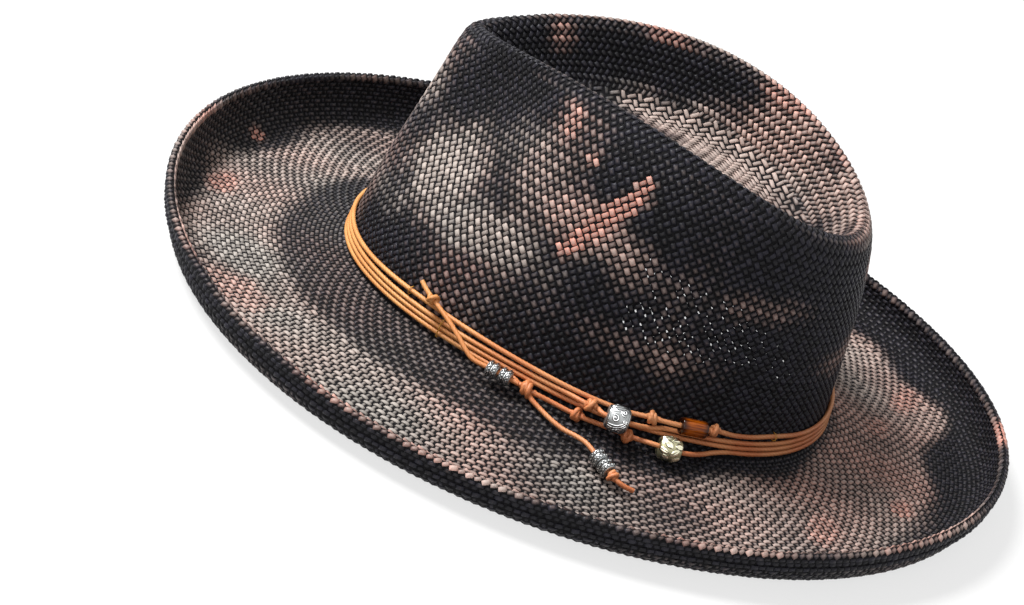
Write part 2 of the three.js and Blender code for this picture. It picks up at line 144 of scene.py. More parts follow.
TEARDROP_PEAK = teardrop(2 * math.atan(math.sqrt(1.5)))


def crest(t):
    width = CREST_HALF_WIDTH * teardrop(from_front(t)) / TEARDROP_PEAK
    return np.stack([width * np.sign(np.sin(t)), CREST_SHIFT - CREST_HALF_LENGTH * np.cos(t), 0 * t], -1)


def crest_height(y):
    s = np.clip((y - CREST_SHIFT + CREST_HALF_LENGTH) / (2 * CREST_HALF_LENGTH), 0, 1)
    return CREST_FRONT + (CREST_BACK - CREST_FRONT) * s + 4 * CREST_ARCH * s * (1 - s)


def pinch(t):
    a = np.degrees(from_front(t))
    return np.maximum(bump(a, PINCH_ANGLE, PINCH_SPREAD), 0.45 * bump(a, 0, 22))


ROLL_POINTS = ((0, 1), (0.4, 0.74), (-0.8, 0.36))  # mm past the edge, share of the edge's height
FLAT_REACHES = (0.85, 1.25, 1.65, 2.05)  # the flat of the brim, in reaches of the roll
CLIMB_POINTS = ((0.62, 0.3), (0.3, 0.66))  # share of the run left to the crown, share of the climb
WALL_RISES = (0.08, 0.2, 0.34, 0.48, 0.62, 0.75, 0.86, 0.94)
DENT_STEPS = ((0.955, 0.01), (0.9, 0.3), (0.83, 0.68), (0.74, 0.95), (0.62, 1.03), (0.45, 1), (0.25, 0.95),
              (0.1, 0.93), (0, 0.92))


def outward_at(t):
    """The level direction from the crown's foot to the rolled edge."""
    return unit((brim_edge(t) - head_oval(t)) * (1, 1, 0))


def profile(t):
    """Control points at each angle: edge, brim, crown wall, ridge and dent."""
    edge, oval, top, out = brim_edge(t), head_oval(t), crest(t), outward_at(t)
    flat = STRAW / 2
    points = []

    def add(base, offset, z):
        point = base + out * np.reshape(offset, (-1, 1))
        point[:, 2] = z
        points.append(point)

    for past, high in ROLL_POINTS:
        add(edge, past, edge[:, 2] * high)
    add(edge, -ROLL_REACH * 0.42, flat + edge[:, 2] * 0.03)
    for reach in FLAT_REACHES:
        add(edge, -ROLL_REACH * reach, flat)
    run = np.hypot(*(edge - oval)[:, :2].T) - ROLL_REACH * FLAT_REACHES[-1]
    for left, climbed in CLIMB_POINTS:
        add(oval, run * left, mix(flat, oval[:, 2], climbed))
    add(oval, 6, mix(flat, oval[:, 2], 0.92))
    add(oval, 1.8, oval[:, 2])
    add(oval, -0.2, oval[:, 2] + 2.2)
    height = crest_height(top[:, 1])
    share = pinch(t)
    for rise in WALL_RISES:
        shoulder = 0.5 * rise + 0.5 * (1 - math.sqrt(1 - rise**4))
        lean = mix(shoulder, smooth(0.12, 0.86, rise), share)[:, None]
        point = mix(oval, top, lean)
        point[:, 2] = mix(oval[:, 2], height, rise)
        points.append(point)
    lip = mix(oval, top, 0.97)
    lip[:, 2] = height + 0.6
    points.append(lip)
    floor_y = CREST_SHIFT + DENT_SHIFT
    for part, depth in DENT_STEPS:
        y = mix(floor_y, top[:, 1], part)
        points.append(np.stack([top[:, 0] * part, y, crest_height(y) - DENT_DEPTH * depth], -1))
    return np.stack(points, 1)


# %% The spline through the control points
LAST_PLACE = 30  # places count control points from the edge, 0, to the middle of the dent


def with_ends(points):
    first = 2 * points[:, :1] - points[:, 1:2]
    last = 2 * points[:, -1:] - points[:, -2:-1]
    return np.concatenate([first, points, last], 1)


def blend_weights(f):
    return np.stack([(1 - f) ** 3, 3 * f**3 - 6 * f**2 + 4, -3 * f**3 + 3 * f**2 + 3 * f + 1, f**3], -1) / 6


def on_profile(points, place):
    """One point on each profile, at its own place."""
    i = np.minimum(np.floor(place).astype(int), LAST_PLACE - 1)
    picked = with_ends(points)[np.arange(len(place))[:, None], i[:, None] + np.arange(4)]
    return (picked * blend_weights(place - i)[..., None]).sum(1)


def whole_profiles(t, places):
    """Every profile at the same list of places."""
    i = np.minimum(np.floor(places).astype(int), LAST_PLACE - 1)
    weights = np.zeros((len(places), LAST_PLACE + 3))
    for row, (k, w) in enumerate(zip(i, blend_weights(places - i))):
        weights[row, k : k + 4] = w
    return np.einsum("pk,nkc->npc", weights, with_ends(profile(t)))


def surface(t, place):
    """Points of the middle surface, their normals on the sunny side, and headings to the crown."""
    t, place = np.broadcast_arrays(np.asarray(t, float), np.asarray(place, float))
    here = profile(t)
    before = np.maximum(place - 0.02, 0)
    along = on_profile(here, before + 0.04) - on_profile(here, before)
    around = on_profile(profile(t + 0.004), place) - on_profile(profile(t - 0.004), place)
    normal = np.cross(around, along)
    flat_spot = np.linalg.norm(normal, axis=1) < 1e-7
    normal[flat_spot] = (0, 0, 1)
    return on_profile(here, place), unit(normal), unit(along)


sample_point, sample_normal, _ = surface([math.radians(90)], 15)
print("crown wall at the wearer's left:", sample_point.round(1), "normal", sample_normal.round(2))


# %% [markdown]
# The fold at the rim. The brim's edge is turned over a steel wire and laid back on the
# outside for 6 mm, so the weave has a rounded rim with a hem under it. It could be left as
# a cut edge with a thickness, but the round fold is what catches the light on a real brim.

# %% The fold over the wire
WIRE_RADIUS = 0.5
FOLD_RADIUS = WIRE_RADIUS + GAP + STRAW / 2  # to the middle of the folded straw
FOLD_LENGTH = math.pi * FOLD_RADIUS
HEM_LENGTH = 6
HEM_REST = 1.5  # the hem's middle under the brim's middle
HEM_EASE = 2.8  # how far from the rim the hem comes to rest


def folded(t, q):
    """Points and outward normals of the fold, q millimetres on from the edge."""
    t, q = np.broadcast_arrays(np.asarray(t, float), np.asarray(q, float))
    edge, normal, along = surface(t, 0)
    past, under = -along, -normal
    a = math.pi / 2 - np.minimum(q, FOLD_LENGTH) / FOLD_RADIUS
    back_run = np.maximum(q - FOLD_LENGTH, 0)
    ease = smooth(0, HEM_EASE, back_run)
    depth = FOLD_RADIUS * (1 - np.sin(a)) - ease * (2 * FOLD_RADIUS - HEM_REST)
    beyond = FOLD_RADIUS * np.cos(a) - back_run
    point = edge + past * beyond[:, None] + under * depth[:, None]
    return point, unit(past * np.cos(a)[:, None] - under * np.sin(a)[:, None])


print("fold is", round(FOLD_LENGTH, 2), "mm of straw round the wire")


# %% [markdown]
# Cords, knots and threads are all long round things that follow a path, so one Geometry
# Nodes tree makes them: it resamples the path, tilts it steadily, and sweeps a lobed
# section along it, which gives the shallow twist of laid cotton. A bevelled curve would be
# quicker, but it has no lobes, and a twist drawn only in bump would vanish from the mesh.

# %% Node and mesh helpers
def linear(colour):
    """An sRGB hex colour as linear red, green, blue and alpha."""
    parts = [int(colour[i : i + 2], 16) / 255 for i in (1, 3, 5)]
    return [c / 12.92 if c <= 0.04045 else ((c + 0.055) / 1.055) ** 2.4 for c in parts] + [1]


def put(tree, kind, inputs=(), **settings):
    """Adds one node, sets its properties, and fills or links its inputs.

    A node given as an input stands for its first output, and a hex string for its linear colour.
    """
    made = tree.nodes.new(kind)
    for name, value in settings.items():
        setattr(made, name, value)
    for key, value in dict(inputs).items():
        if isinstance(value, bpy.types.Node):
            tree.links.new(value.outputs[0], made.inputs[key])
        elif isinstance(value, bpy.types.NodeSocket):
            tree.links.new(value, made.inputs[key])
        elif isinstance(value, str) and value.startswith("#"):
            made.inputs[key].default_value = linear(value)
        else:
            made.inputs[key].default_value = value
    return made


EASED = {"interpolation_type": "SMOOTHSTEP"}  # settings of a range that starts and stops softly
COLOURS = {"data_type": "RGBA"}  # settings of a mix of two colours
ON_POINTS = {"data_type": "FLOAT", "domain": "POINT"}  # settings of a value kept on each point


def tree_with(name, sockets):
    """A Geometry Nodes tree with a geometry input, named inputs and a geometry output."""
    tree = bpy.data.node_groups.new(name, "GeometryNodeTree")
    tree.interface.new_socket("Geometry", in_out="INPUT", socket_type="NodeSocketGeometry")
    for socket, kind in sockets:
        tree.interface.new_socket(socket, in_out="INPUT", socket_type=kind)
    tree.interface.new_socket("Geometry", in_out="OUTPUT", socket_type="NodeSocketGeometry")
    return tree, tree.nodes.new("NodeGroupInput").outputs, tree.nodes.new("NodeGroupOutput").inputs


def plain_object(name, points_mm, edges=(), faces=(), values=()):
    """An object from points in millimetres, with values kept on its points."""
    mesh = bpy.data.meshes.new(name)
    mesh.from_pydata([tuple(p) for p in np.asarray(points_mm) * MM], list(edges), list(faces))
    for key, data in dict(values).items():
        data = np.asarray(data, np.float32)
        kind, field = ("FLOAT_VECTOR", "vector") if data.ndim == 2 else ("FLOAT", "value")
        mesh.attributes.new(key, kind, "POINT").data.foreach_set(field, data.ravel())
    made = bpy.data.objects.new(name, mesh)
    bpy.context.scene.collection.objects.link(made)
    return made


def solid(name, points_mm, faces, finish=None, soft=True, values=()):
    """A closed piece with a finish, its faces turned outwards where its volume is negative."""
    piece = plain_object(name, points_mm, (), faces, values)
    mesh = piece.data
    mesh.polygons.foreach_set("use_smooth", [soft] * len(faces))
    if finish:
        mesh.materials.append(finish)
    mesh.calc_loop_triangles()
    points = np.array([v.co for v in mesh.vertices])
    corners = np.array([t.vertices for t in mesh.loop_triangles])
    a, b, c = (points - points.mean(0))[corners].transpose(1, 0, 2)
    if np.einsum("ij,ij->", a, np.cross(b, c)) < 0:
        mesh.flip_normals()
    return piece


def ring_faces(rings, corners, closed=True):
    """Quads between rings of corners. A run of rings that isn't closed gets an end at each side."""
    faces = []
    for i in range(rings if closed else rings - 1):
        here, ahead = i * corners, (i + 1) % rings * corners
        for j in range(corners):
            k = (j + 1) % corners
            faces.append((here + j, ahead + j, ahead + k, here + k))
    if not closed:
        last = (rings - 1) * corners
        faces += [tuple(range(corners)), tuple(last + j for j in reversed(range(corners)))]
    return faces


def grown(name, seed_object, tree, settings):
    """Runs a tree on an object and keeps the result as a plain mesh object."""
    modifier = seed_object.modifiers.new("grow", "NODES")
    modifier.node_group = tree
    for item in tree.interface.items_tree:
        if item.in_out == "INPUT" and item.name in settings:
            modifier[item.identifier] = settings[item.name]
    depsgraph = bpy.context.evaluated_depsgraph_get()
    mesh = bpy.data.meshes.new_from_object(seed_object.evaluated_get(depsgraph), depsgraph=depsgraph)
    mesh.name = name
    bpy.data.objects.remove(seed_object)
    piece = bpy.data.objects.new(name, mesh)
    bpy.context.scene.collection.objects.link(piece)
    return piece


# %% The tree of a laid cord
def cord_tree():
    tree, given, out = tree_with("laid_cord", [
        ("Radius", "NodeSocketFloat"), ("Strands", "NodeSocketInt"), ("Lobe depth", "NodeSocketFloat"),
        ("Turn length", "NodeSocketFloat"), ("Spacing", "NodeSocketFloat"), ("Sides", "NodeSocketInt"),
        ("Material", "NodeSocketMaterial")])
    path = put(tree, "GeometryNodeMeshToCurve", {0: given["Geometry"]})
    even = put(tree, "GeometryNodeResampleCurve", {0: path, 3: given["Spacing"]}, mode="LENGTH")
    whole = put(tree, "GeometryNodeCurveLength", {0: even})
    turns = put(tree, "ShaderNodeMath", {0: whole, 1: given["Turn length"]}, operation="DIVIDE")
    full = put(tree, "ShaderNodeMath", {0: turns}, operation="ROUND")
    angle = put(tree, "ShaderNodeMath", {0: full, 1: FULL_TURN}, operation="MULTIPLY")
    step = put(tree, "GeometryNodeSplineParameter")
    tilt = put(tree, "ShaderNodeMath", {0: angle, 1: step.outputs["Factor"]}, operation="MULTIPLY")
    tilted = put(tree, "GeometryNodeSetCurveTilt", {0: even, 2: tilt})
    marked = put(tree, "GeometryNodeStoreNamedAttribute",
                 {0: tilted, 2: "along", 3: step.outputs["Length"]}, **ON_POINTS)
    ring = put(tree, "GeometryNodeCurvePrimitiveCircle", {0: given["Sides"], 4: given["Radius"]},
               mode="RADIUS")
    corner = put(tree, "GeometryNodeSplineParameter")
    strand_angle = put(tree, "ShaderNodeMath", {0: corner.outputs["Factor"], 1: FULL_TURN},
                       operation="MULTIPLY")
    lobes = put(tree, "ShaderNodeMath", {0: strand_angle, 1: given["Strands"]}, operation="MULTIPLY")
    ridge = put(tree, "ShaderNodeMath", {0: lobes}, operation="COSINE")
    swell = put(tree, "ShaderNodeMath", {0: ridge, 1: given["Lobe depth"]}, operation="MULTIPLY")
    spot = put(tree, "GeometryNodeInputPosition")
    push = put(tree, "ShaderNodeVectorMath", {0: spot, 3: swell}, operation="SCALE")
    lobed = put(tree, "GeometryNodeSetPosition", {0: ring, 3: push})
    ridged = put(tree, "GeometryNodeStoreNamedAttribute",
                 {0: lobed, 2: "ridge", 3: ridge}, **ON_POINTS)
    tube = put(tree, "GeometryNodeCurveToMesh", {0: marked, 1: ridged, 3: True})
    soft = put(tree, "GeometryNodeSetShadeSmooth", {0: tube})
    real = put(tree, "GeometryNodeRealizeInstances", {0: soft})
    done = put(tree, "GeometryNodeSetMaterial", {0: real, 2: given["Material"]})
    tree.links.new(done.outputs[0], out[0])
    return tree


LAID_CORD = cord_tree()
print("laid_cord tree has", len(LAID_CORD.nodes), "nodes")


# %% [markdown]
# Finishes. Each starts from what the real thing is made of. Colours are written as sRGB
# hex and turned to linear by one function, and pattern sizes come from real millimetres.

# %% Material helpers
def finish_named(name, **values):
    """A new material, its tree, and its Principled shader with constant values on its sockets."""
    made = bpy.data.materials.new(name)
    made.use_nodes = True
    shader = made.node_tree.nodes["Principled BSDF"]
    for socket, value in values.items():
        shader.inputs[socket.replace("_", " ")].default_value = value
    return made, made.node_tree, shader


def fed(made, **sources):
    """Links sources to the sockets of a material's shader, and gives the material back."""
    shader = made.node_tree.nodes["Principled BSDF"]
    for socket, source in sources.items():
        source = source.outputs[0] if isinstance(source, bpy.types.Node) else source
        made.node_tree.links.new(source, shader.inputs[socket.replace("_", " ")])
    return made


# %% [markdown]
# Waxed cotton cord: tan-orange cotton, spun in four strands and drawn through wax. The wax gives
# a dull satin shine, and painted shade darkens the grooves of the twist between the strands. The
# colour could come from one socket, but dye takes unevenly, so it drifts along the cord.

# %% Waxed cotton cord
def waxed_cotton():
    made, tree, _ = finish_named("waxed_cotton_cord", Roughness=0.5, IOR=1.45)
    ridge = put(tree, "ShaderNodeAttribute", attribute_name="ridge").outputs["Fac"]
    place = put(tree, "ShaderNodeTexCoord").outputs["Object"]
    drift = put(tree, "ShaderNodeTexNoise", {"Vector": place, "Scale": 60, "Detail": 2})
    fuzz = put(tree, "ShaderNodeTexNoise", {"Vector": place, "Scale": 2600, "Detail": 3})
    backwards = put(tree, "ShaderNodeSeparateXYZ", {0: place}).outputs[1]
    share = put(tree, "ShaderNodeMapRange", {0: drift, 1: 0.35, 2: 0.65, 3: 0, 4: 1}, **EASED)
    golden, brown = [put(tree, "ShaderNodeMix", {0: share, 6: a, 7: b}, **COLOURS).outputs[2]
                     for a, b in (("#cf8748", "#da9b5a"), ("#bf6d42", "#d08a5a"))]
    # the cord is golden over the front of the hat and browner towards the back
    share = put(tree, "ShaderNodeMapRange", {0: backwards, 1: -0.06, 2: 0.03, 3: 0, 4: 1}, **EASED)
    body = put(tree, "ShaderNodeMix", {0: share, 6: golden, 7: brown}, **COLOURS).outputs[2]
    # painted shade: the grooves between the strands are mixed towards a darker brown
    groove_shade = put(tree, "ShaderNodeMapRange", {0: ridge, 1: -1, 2: 0.1, 3: 0.45, 4: 0}, **EASED)
    shaded = put(tree, "ShaderNodeMix", {0: groove_shade, 6: body, 7: "#8d4d28"}, **COLOURS).outputs[2]
    fibres = put(tree, "ShaderNodeMapRange", {0: fuzz, 1: 0.5, 2: 0.72, 3: 0, 4: 0.3}, **EASED)
    colour = put(tree, "ShaderNodeMix", {0: fibres, 6: shaded, 7: "#efc492"}, **COLOURS).outputs[2]
    relief = put(tree, "ShaderNodeBump", {"Strength": 0.35, "Distance": 0.0001, "Height": fuzz})
    return fed(made, Base_Color=colour, Normal=relief)


CORD_FINISH = waxed_cotton()
print("finish:", CORD_FINISH.name)


# %% [markdown]
# Routes of the cords. Four turns of cord lie on the foot of the crown wall. On the wearer's
# left, three of them leave the wall to pass through the beads and knots. Each route is a
# list of stations, and the cord is a smooth closed curve through them.

# %% The band's stations
CORD_RADIUS, CORD_SPACE, BAND_HEIGHT = 1, 0.25, 4.6
CORD_PITCH = 2 * CORD_RADIUS + CORD_SPACE
SNUG = GAP + CORD_RADIUS  # cord centre over the straw's face
# stations: degrees round the hat, mm out from the usual route, and mm up
LOWER_STATIONS = (
    (84, 1.75, 4.6), (88.6, 1.8, 4.5), (91.4, 4.9, 4.6), (94.4, 5.2, 4.3), (98, 4.3, 3.6), (102.6, 4.6, 3.1),
    (105.4, 4.7, 3.0), (109, 3.9, 2.7), (113.4, 4.8, 3.0), (116.6, 5.4, 3.1), (120.6, 8.2, 4.6),
    (127, 9.3, 4.9), (131, 6.4, 4.2), (135.5, 3.2, 4.4))
MIDDLE_STATIONS = (
    (101.5, 1.1, 0.4), (104.6, 3.4, 1.1), (107.2, 3.5, 1.1), (108.9, 6.7, 1.4), (114.6, 6.9, 1.5),
    (118.8, 2.3, -0.3), (122.5, 0.3, 0))
UPPER_STATIONS = (
    (114.6, 0.2, 0.2), (117.9, 1.3, 1.15), (120.6, 1.3, 1.15), (124.9, 2.3, 1.7), (132.1, 2.3, 1.95),
    (132.7, 1.6, 2.05), (135.1, 1.3, 2), (139.5, 0.2, 0.6))


def over_wall(t, z, lift):
    """Points at a clear height over the straw's face, at given levels on the crown wall."""
    t, z, lift = (np.asarray(v, float) for v in np.broadcast_arrays(t, z, lift))
    low, high = np.full_like(t, 11.0), np.full_like(t, 20.0)
    for _ in range(26):
        middle = (low + high) / 2
        p, normal, _ = surface(t, middle)
        p = p + normal * (lift + np.sign(lift) * STRAW / 2)[:, None]
        below = p[:, 2] < z
        low, high = np.where(below, middle, low), np.where(below, high, middle)
    return p


def cord_level(t, row):
    """The height of one turn of the band, which dips at the beads and hangs looser on top."""
    a = np.degrees(t)
    dip = 1.2 * bump(a, 108, 16) if row > 0 else 0
    loose = 1.5 * bump(a, 62, 22) + 1.1 * bump(a, 152, 9) if row == 3 else 0
    return head_oval(t)[:, 2] + BAND_HEIGHT + CORD_PITCH * row - dip + loose


def band_route(row, stations=(), over_brim=False):
    """A closed route: snug on the wall, except where its stations lead it away."""
    degrees = np.arange(0, 360, 5.0)
    if stations:
        degrees = degrees[(degrees < stations[0][0] - 3) | (degrees > stations[-1][0] + 3)]
    t = np.radians(degrees)
    points = over_wall(t, cord_level(t, row), SNUG)
    if stations:
        away = np.array(stations, float)
        s = np.radians(away[:, 0])
        if over_brim:
            lifted = head_oval(s) + outward_at(s) * away[:, 1:2]
            lifted[:, 2] += away[:, 2]
        else:
            lifted = over_wall(s, cord_level(s, row) + away[:, 2], SNUG + away[:, 1])
        points = np.concatenate([points, lifted])
        degrees = np.concatenate([degrees, away[:, 0]])
    order = np.argsort(degrees)
    return degrees[order], points[order]


def smooth_line(points, closed=False, spacing=0.5):
    """A centripetal Catmull-Rom curve through the points."""
    if closed:
        padded = np.concatenate([points[-1:], points, points[:2]])
    else:
        padded = np.concatenate([2 * points[:1] - points[1:2], points, 2 * points[-1:] - points[-2:-1]])
    line = []
    for a, b, c, d in zip(padded, padded[1:], padded[2:], padded[3:]):
        k1 = np.linalg.norm(b - a) ** 0.5
        k2 = k1 + np.linalg.norm(c - b) ** 0.5
        k3 = k2 + np.linalg.norm(d - c) ** 0.5
        count = max(2, int(round(np.linalg.norm(c - b) / spacing)))
        k = np.linspace(k1, k2, count, endpoint=False)[:, None]
        ab = (k1 - k) / k1 * a + k / k1 * b
        bc = (k2 - k) / (k2 - k1) * b + (k - k1) / (k2 - k1) * c
        cd = (k3 - k) / (k3 - k2) * c + (k - k2) / (k3 - k2) * d
        abc = (k2 - k) / k2 * ab + k / k2 * bc
        bcd = (k3 - k) / (k3 - k1) * bc + (k - k1) / (k3 - k1) * cd
        line.append((k2 - k) / (k2 - k1) * abc + (k - k1) / (k2 - k1) * bcd)
    if not closed:
        line.append(points[-1:])
    return np.concatenate(line)


ROUTES = {
    "lower": band_route(0, LOWER_STATIONS, over_brim=True),
    "second": band_route(1),
    "middle": band_route(2, MIDDLE_STATIONS),
    "upper": band_route(3, UPPER_STATIONS),
}
for route_name, (_, route_points) in ROUTES.items():
    print(route_name, "cord is", round(along_line(smooth_line(route_points, closed=True))[-1]), "mm round")


# %% Laying a cord
def laid(name, line, closed=False, radius=CORD_RADIUS, strands=4, lobe=0.04, turn=7.5, spacing=0.55, sides=12,
         finish=CORD_FINISH):
    """Sweeps a laid cord along a line. Its lobes are cut into the radius, so it stays in its CAD size."""
    count = len(line)
    edges = [(i, i + 1) for i in range(count - 1)] + ([(count - 1, 0)] if closed else [])
    seed = plain_object(name + "_path", line, edges)
    return grown(name, seed, LAID_CORD, {
        "Radius": (radius - radius * lobe / 2) * MM, "Strands": strands, "Lobe depth": lobe,
        "Turn length": turn * MM, "Spacing": spacing * MM, "Sides": sides, "Material": finish})


def belongs(piece, body, slot, *nodes):
    """Says which body a piece rides on, and the CAD nodes that it stands for. Its slot is not used."""
    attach(piece, body)
    if nodes:
        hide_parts(*nodes)
    return piece


# %% The two free ends
LOOSE_END = np.array([
    (93.6, 1.7, 16.2), (93.4, -4, 16.3), (93.2, -9.7, 16.4), (92.9, -18.8, 16.6), (91.7, -22.8, 18.3),
    (89.8, -27, 20.4), (86.9, -33, 22.9), (83.9, -39.5, 25), (81.6, -44.2, 26.3), (79.6, -48, 27.5),
    (77.6, -51.4, 29)])
TAIL = np.array([
    (94.4, 8.7, 13), (95.9, 13.6, 11.8), (98, 19.4, 10.9), (99.5, 25.2, 10.4), (100.3, 30.8, 10.7),
    (101.8, 35.9, 10.8), (105.7, 42.8, 9.6), (108.2, 47.2, 8.8), (111.6, 53.2, 7.7), (111.2, 56.8, 6.7),
    (109.5, 60.2, 5.8)])
free_lines = {"loose_end": smooth_line(LOOSE_END), "tail": smooth_line(TAIL)}
for end, line in free_lines.items():
    belongs(laid(end + "_cord_laid", line), "hat", "cord", end + "_cord")
    print(end, "is", round(along_line(line)[-1], 1), "mm long")

# %% The four turns of the band
for number, (route_name, (_, route_points)) in enumerate(ROUTES.items(), 1):
    line = smooth_line(route_points, closed=True)
    turn_piece = laid(f"band_cord_{number}_laid", line, closed=True)
    belongs(turn_piece, "hat", "cord", f"band_cord_{number}")
    print(turn_piece.name, "has", len(turn_piece.data.polygons), "faces")


# %% [markdown]
# Knots. Each is an overhand knot pulled tight: the cord winds round itself and a crossing
# strand lies over the turns. A dented ball would be lighter, but the separate strands are
# what the eye reads as a knot, so the path of the strand is drawn and swept like the cords.

# %% Threading pieces on a route
def straight_after(route, start):
    """The two ends of the straight stretch that starts at an angle in degrees."""
    degrees, points = ROUTES[route]
    i = int(np.flatnonzero(np.isclose(degrees, start))[0])
    return points[i], points[i + 1]


def frame_between(ends, share=0.5):
    """The centre, and the axes along, beside and over a straight stretch."""
    start, stop = (np.asarray(p, float) for p in ends)
    along = unit(stop - start)
    beside = unit(np.cross((0, 0, 1), along))
    return mix(start, stop, share), np.stack([along, beside, np.cross(along, beside)])


KNOT_PATH = np.array([
    # along the cord, angle round it in degrees, distance from its axis
    (-2.3, 0, 0), (-1.75, 0, 0.25), (-1.3, 40, 0.85), (-1, 110, 1.2), (-0.75, 190, 1.3), (-0.45, 270, 1.3),
    (-0.15, 350, 1.3), (0.2, 430, 1.32), (0.55, 505, 1.35), (0.85, 560, 1.45), (0.6, 620, 1.75),
    (0, 670, 1.85), (-0.65, 720, 1.7), (-0.9, 780, 1.4), (-0.2, 850, 1.2), (0.7, 930, 1.15),
    (1.3, 1000, 0.85), (1.75, 1040, 0.3), (2.3, 1040, 0)])


def knot(node, ends, size, turned, share=0.5):
    centre, axes = frame_between(ends, share)
    angle = np.radians(KNOT_PATH[:, 1] + turned)
    local = np.stack([KNOT_PATH[:, 0], KNOT_PATH[:, 2] * np.cos(angle), KNOT_PATH[:, 2] * np.sin(angle)], -1)
    line = smooth_line(centre + (local * size) @ axes, spacing=0.25)
    piece = laid(node + "_tied", line, radius=0.8 * size, turn=6, spacing=0.3, sides=10)
    return belongs(piece, "hat", "cord", node)


# %% The eight knots
KNOTS = (  # route, where on it in degrees, size, and how far the knot is turned
    ("lower", 91.4, 1.5, 20), ("lower", 102.6, 1.26, 110), ("middle", 104.6, 1.26, 200),
    ("lower", 113.4, 1.26, 300), ("upper", 117.9, 1.25, 60), ("upper", 132.7, 1.15, 150))
END_KNOT_SIZE = 1.12
for number, (route_name, start, size, turned) in enumerate(KNOTS, 1):
    knot(f"knot_{number}", straight_after(route_name, start), size, turned)
end_knots = {
    "loose_end": knot("loose_end_knot", (LOOSE_END[7], LOOSE_END[9]), END_KNOT_SIZE, 80),
    "tail": knot("tail_knot", (TAIL[7], TAIL[8]), END_KNOT_SIZE, 250, share=0.66),
}
print("tied", len(KNOTS) + len(end_knots), "knots")

# %% The strand that leaves the first knot and becomes the tail
knot_centre, _ = frame_between(straight_after(*KNOTS[0][:2]))
root = np.array([knot_centre, mix(knot_centre, TAIL[0], 0.5), TAIL[0], TAIL[0] + unit(TAIL[1] - TAIL[0])])
tail_root = laid("knot_1_strand_laid", smooth_line(root), radius=1.05 * CORD_RADIUS)
belongs(tail_root, "hat", "cord", "knot_1")
print("from knot to tail:", round(float(np.linalg.norm(TAIL[0] - knot_centre)), 1), "mm")


# %% [markdown]
# Cast metal beads. The relief of a cast bead is soft, and a dark patina is left in its
# grooves when the high parts are rubbed bright. Each bead is a turned body whose outside is
# raised by a pattern measured over its unrolled surface. Bump alone would leave a smooth
# edge against the light, so the relief is in the mesh, and the patina follows its height.

# %% Metal finishes
def cast_metal(name, bright, plain, patina, roughness):
    made, tree, _ = finish_named(name, Metallic=1)
    raised = put(tree, "ShaderNodeAttribute", attribute_name="raised").outputs["Fac"]
    place = put(tree, "ShaderNodeTexCoord").outputs["Object"]
    grain = put(tree, "ShaderNodeTexNoise", {"Vector": place, "Scale": 1800, "Detail": 3})
    # the ground is plain, the foot of each raised wire is dark, and its top is bright
    share = put(tree, "ShaderNodeMapRange", {0: raised, 1: 0.03, 2: 0.16, 3: 0, 4: 1}, **EASED)
    foot = put(tree, "ShaderNodeMix", {0: share, 6: plain, 7: patina}, **COLOURS).outputs[2]
    worn = put(tree, "ShaderNodeMapRange", {0: raised, 1: 0.28, 2: 0.6, 3: 0, 4: 1}, **EASED)
    colour = put(tree, "ShaderNodeMix", {0: worn, 6: foot, 7: bright}, **COLOURS).outputs[2]
    dull = put(tree, "ShaderNodeMapRange", {0: raised, 1: 0.1, 2: 0.6, 3: 0.45, 4: roughness}, **EASED)
    relief = put(tree, "ShaderNodeBump", {"Strength": 0.25, "Distance": 0.00008, "Height": grain})
    return fed(made, Base_Color=colour, Roughness=dull, Normal=relief)


SILVER_FINISH = cast_metal("cast_antiqued_silver_plate", "#f8fafa", "#a8abab", "#1a1b1c", 0.24)
GOLD_FINISH = cast_metal("cast_antiqued_pale_gold_plate", "#f6f2d4", "#b9b592", "#2c2a1a", 0.2)
BORE = (CORD_RADIUS + GAP) / math.cos(math.pi / 12) + 0.02  # radius of a bead's hole


# %% Turning a bead
def bead(node, body, slot, ends, outline, relief, finish, steps, share=0.5):
    """A turned bead with a hole, its outside raised by relief(distance round, distance along)."""
    centre, axes = frame_between(ends, share)
    radius, along = np.array(outline).T
    angle = np.linspace(0, FULL_TURN, steps, endpoint=False)
    rise = np.zeros((steps, len(radius)))
    outside = radius > BORE + 0.15
    rise[:, outside] = relief(angle[:, None] * radius.max(), along[outside][None])
    wide = radius[None] + rise
    local = np.stack([np.broadcast_to(along, wide.shape), wide * np.cos(angle)[:, None],
                      wide * np.sin(angle)[:, None]], -1)
    points = (centre + local @ axes).reshape(-1, 3)
    high = np.clip((rise - rise.min()) / max(np.ptp(rise), 1e-6), 0, 1)
    high[:, ~outside] = 0
    faces = ring_faces(steps, len(radius))
    piece = solid(node + "_turned", points, faces, finish, values={"raised": high.ravel()})
    return belongs(piece, body, slot, node)


BARREL_LENGTH, BARREL_LIP = 9, 0.15


def barrel_outline(radius, end_radius, stations):
    """A barrel section from the bore over the outside and back, as (radius, along) pairs."""
    half = BARREL_LENGTH / 2
    y = np.sin(np.linspace(-math.pi / 2, math.pi / 2, stations)) * (half - BARREL_LIP)
    bulge = np.sqrt(1 - (np.abs(y) / half) ** 2)
    outside = [(mix(end_radius, radius, b), v) for b, v in zip(bulge, y)]
    return [(BORE, -half), (end_radius - 0.25, -half), *outside, (end_radius - 0.25, half), (BORE, half)]


# %% Rondelles with two granulated ridges
RONDELLE_HALF, RONDELLE_END, RONDELLE_LIP = 2.3, 2.3, 0.12
RONDELLE_WAIST, RIDGE_RISE, RIDGE_OFF, RIDGE_SPREAD = 2.55, 0.85, 1.12, 0.72
GRAINS = 14  # in a row round the bead
GRAIN_ROWS = ((-1.5, 0.0), (-0.75, 0.5), (0.75, 0.0), (1.5, 0.5))  # mm along, turned by a share
GRAIN_HEIGHT, RING_HEIGHT = 0.2, 0.12


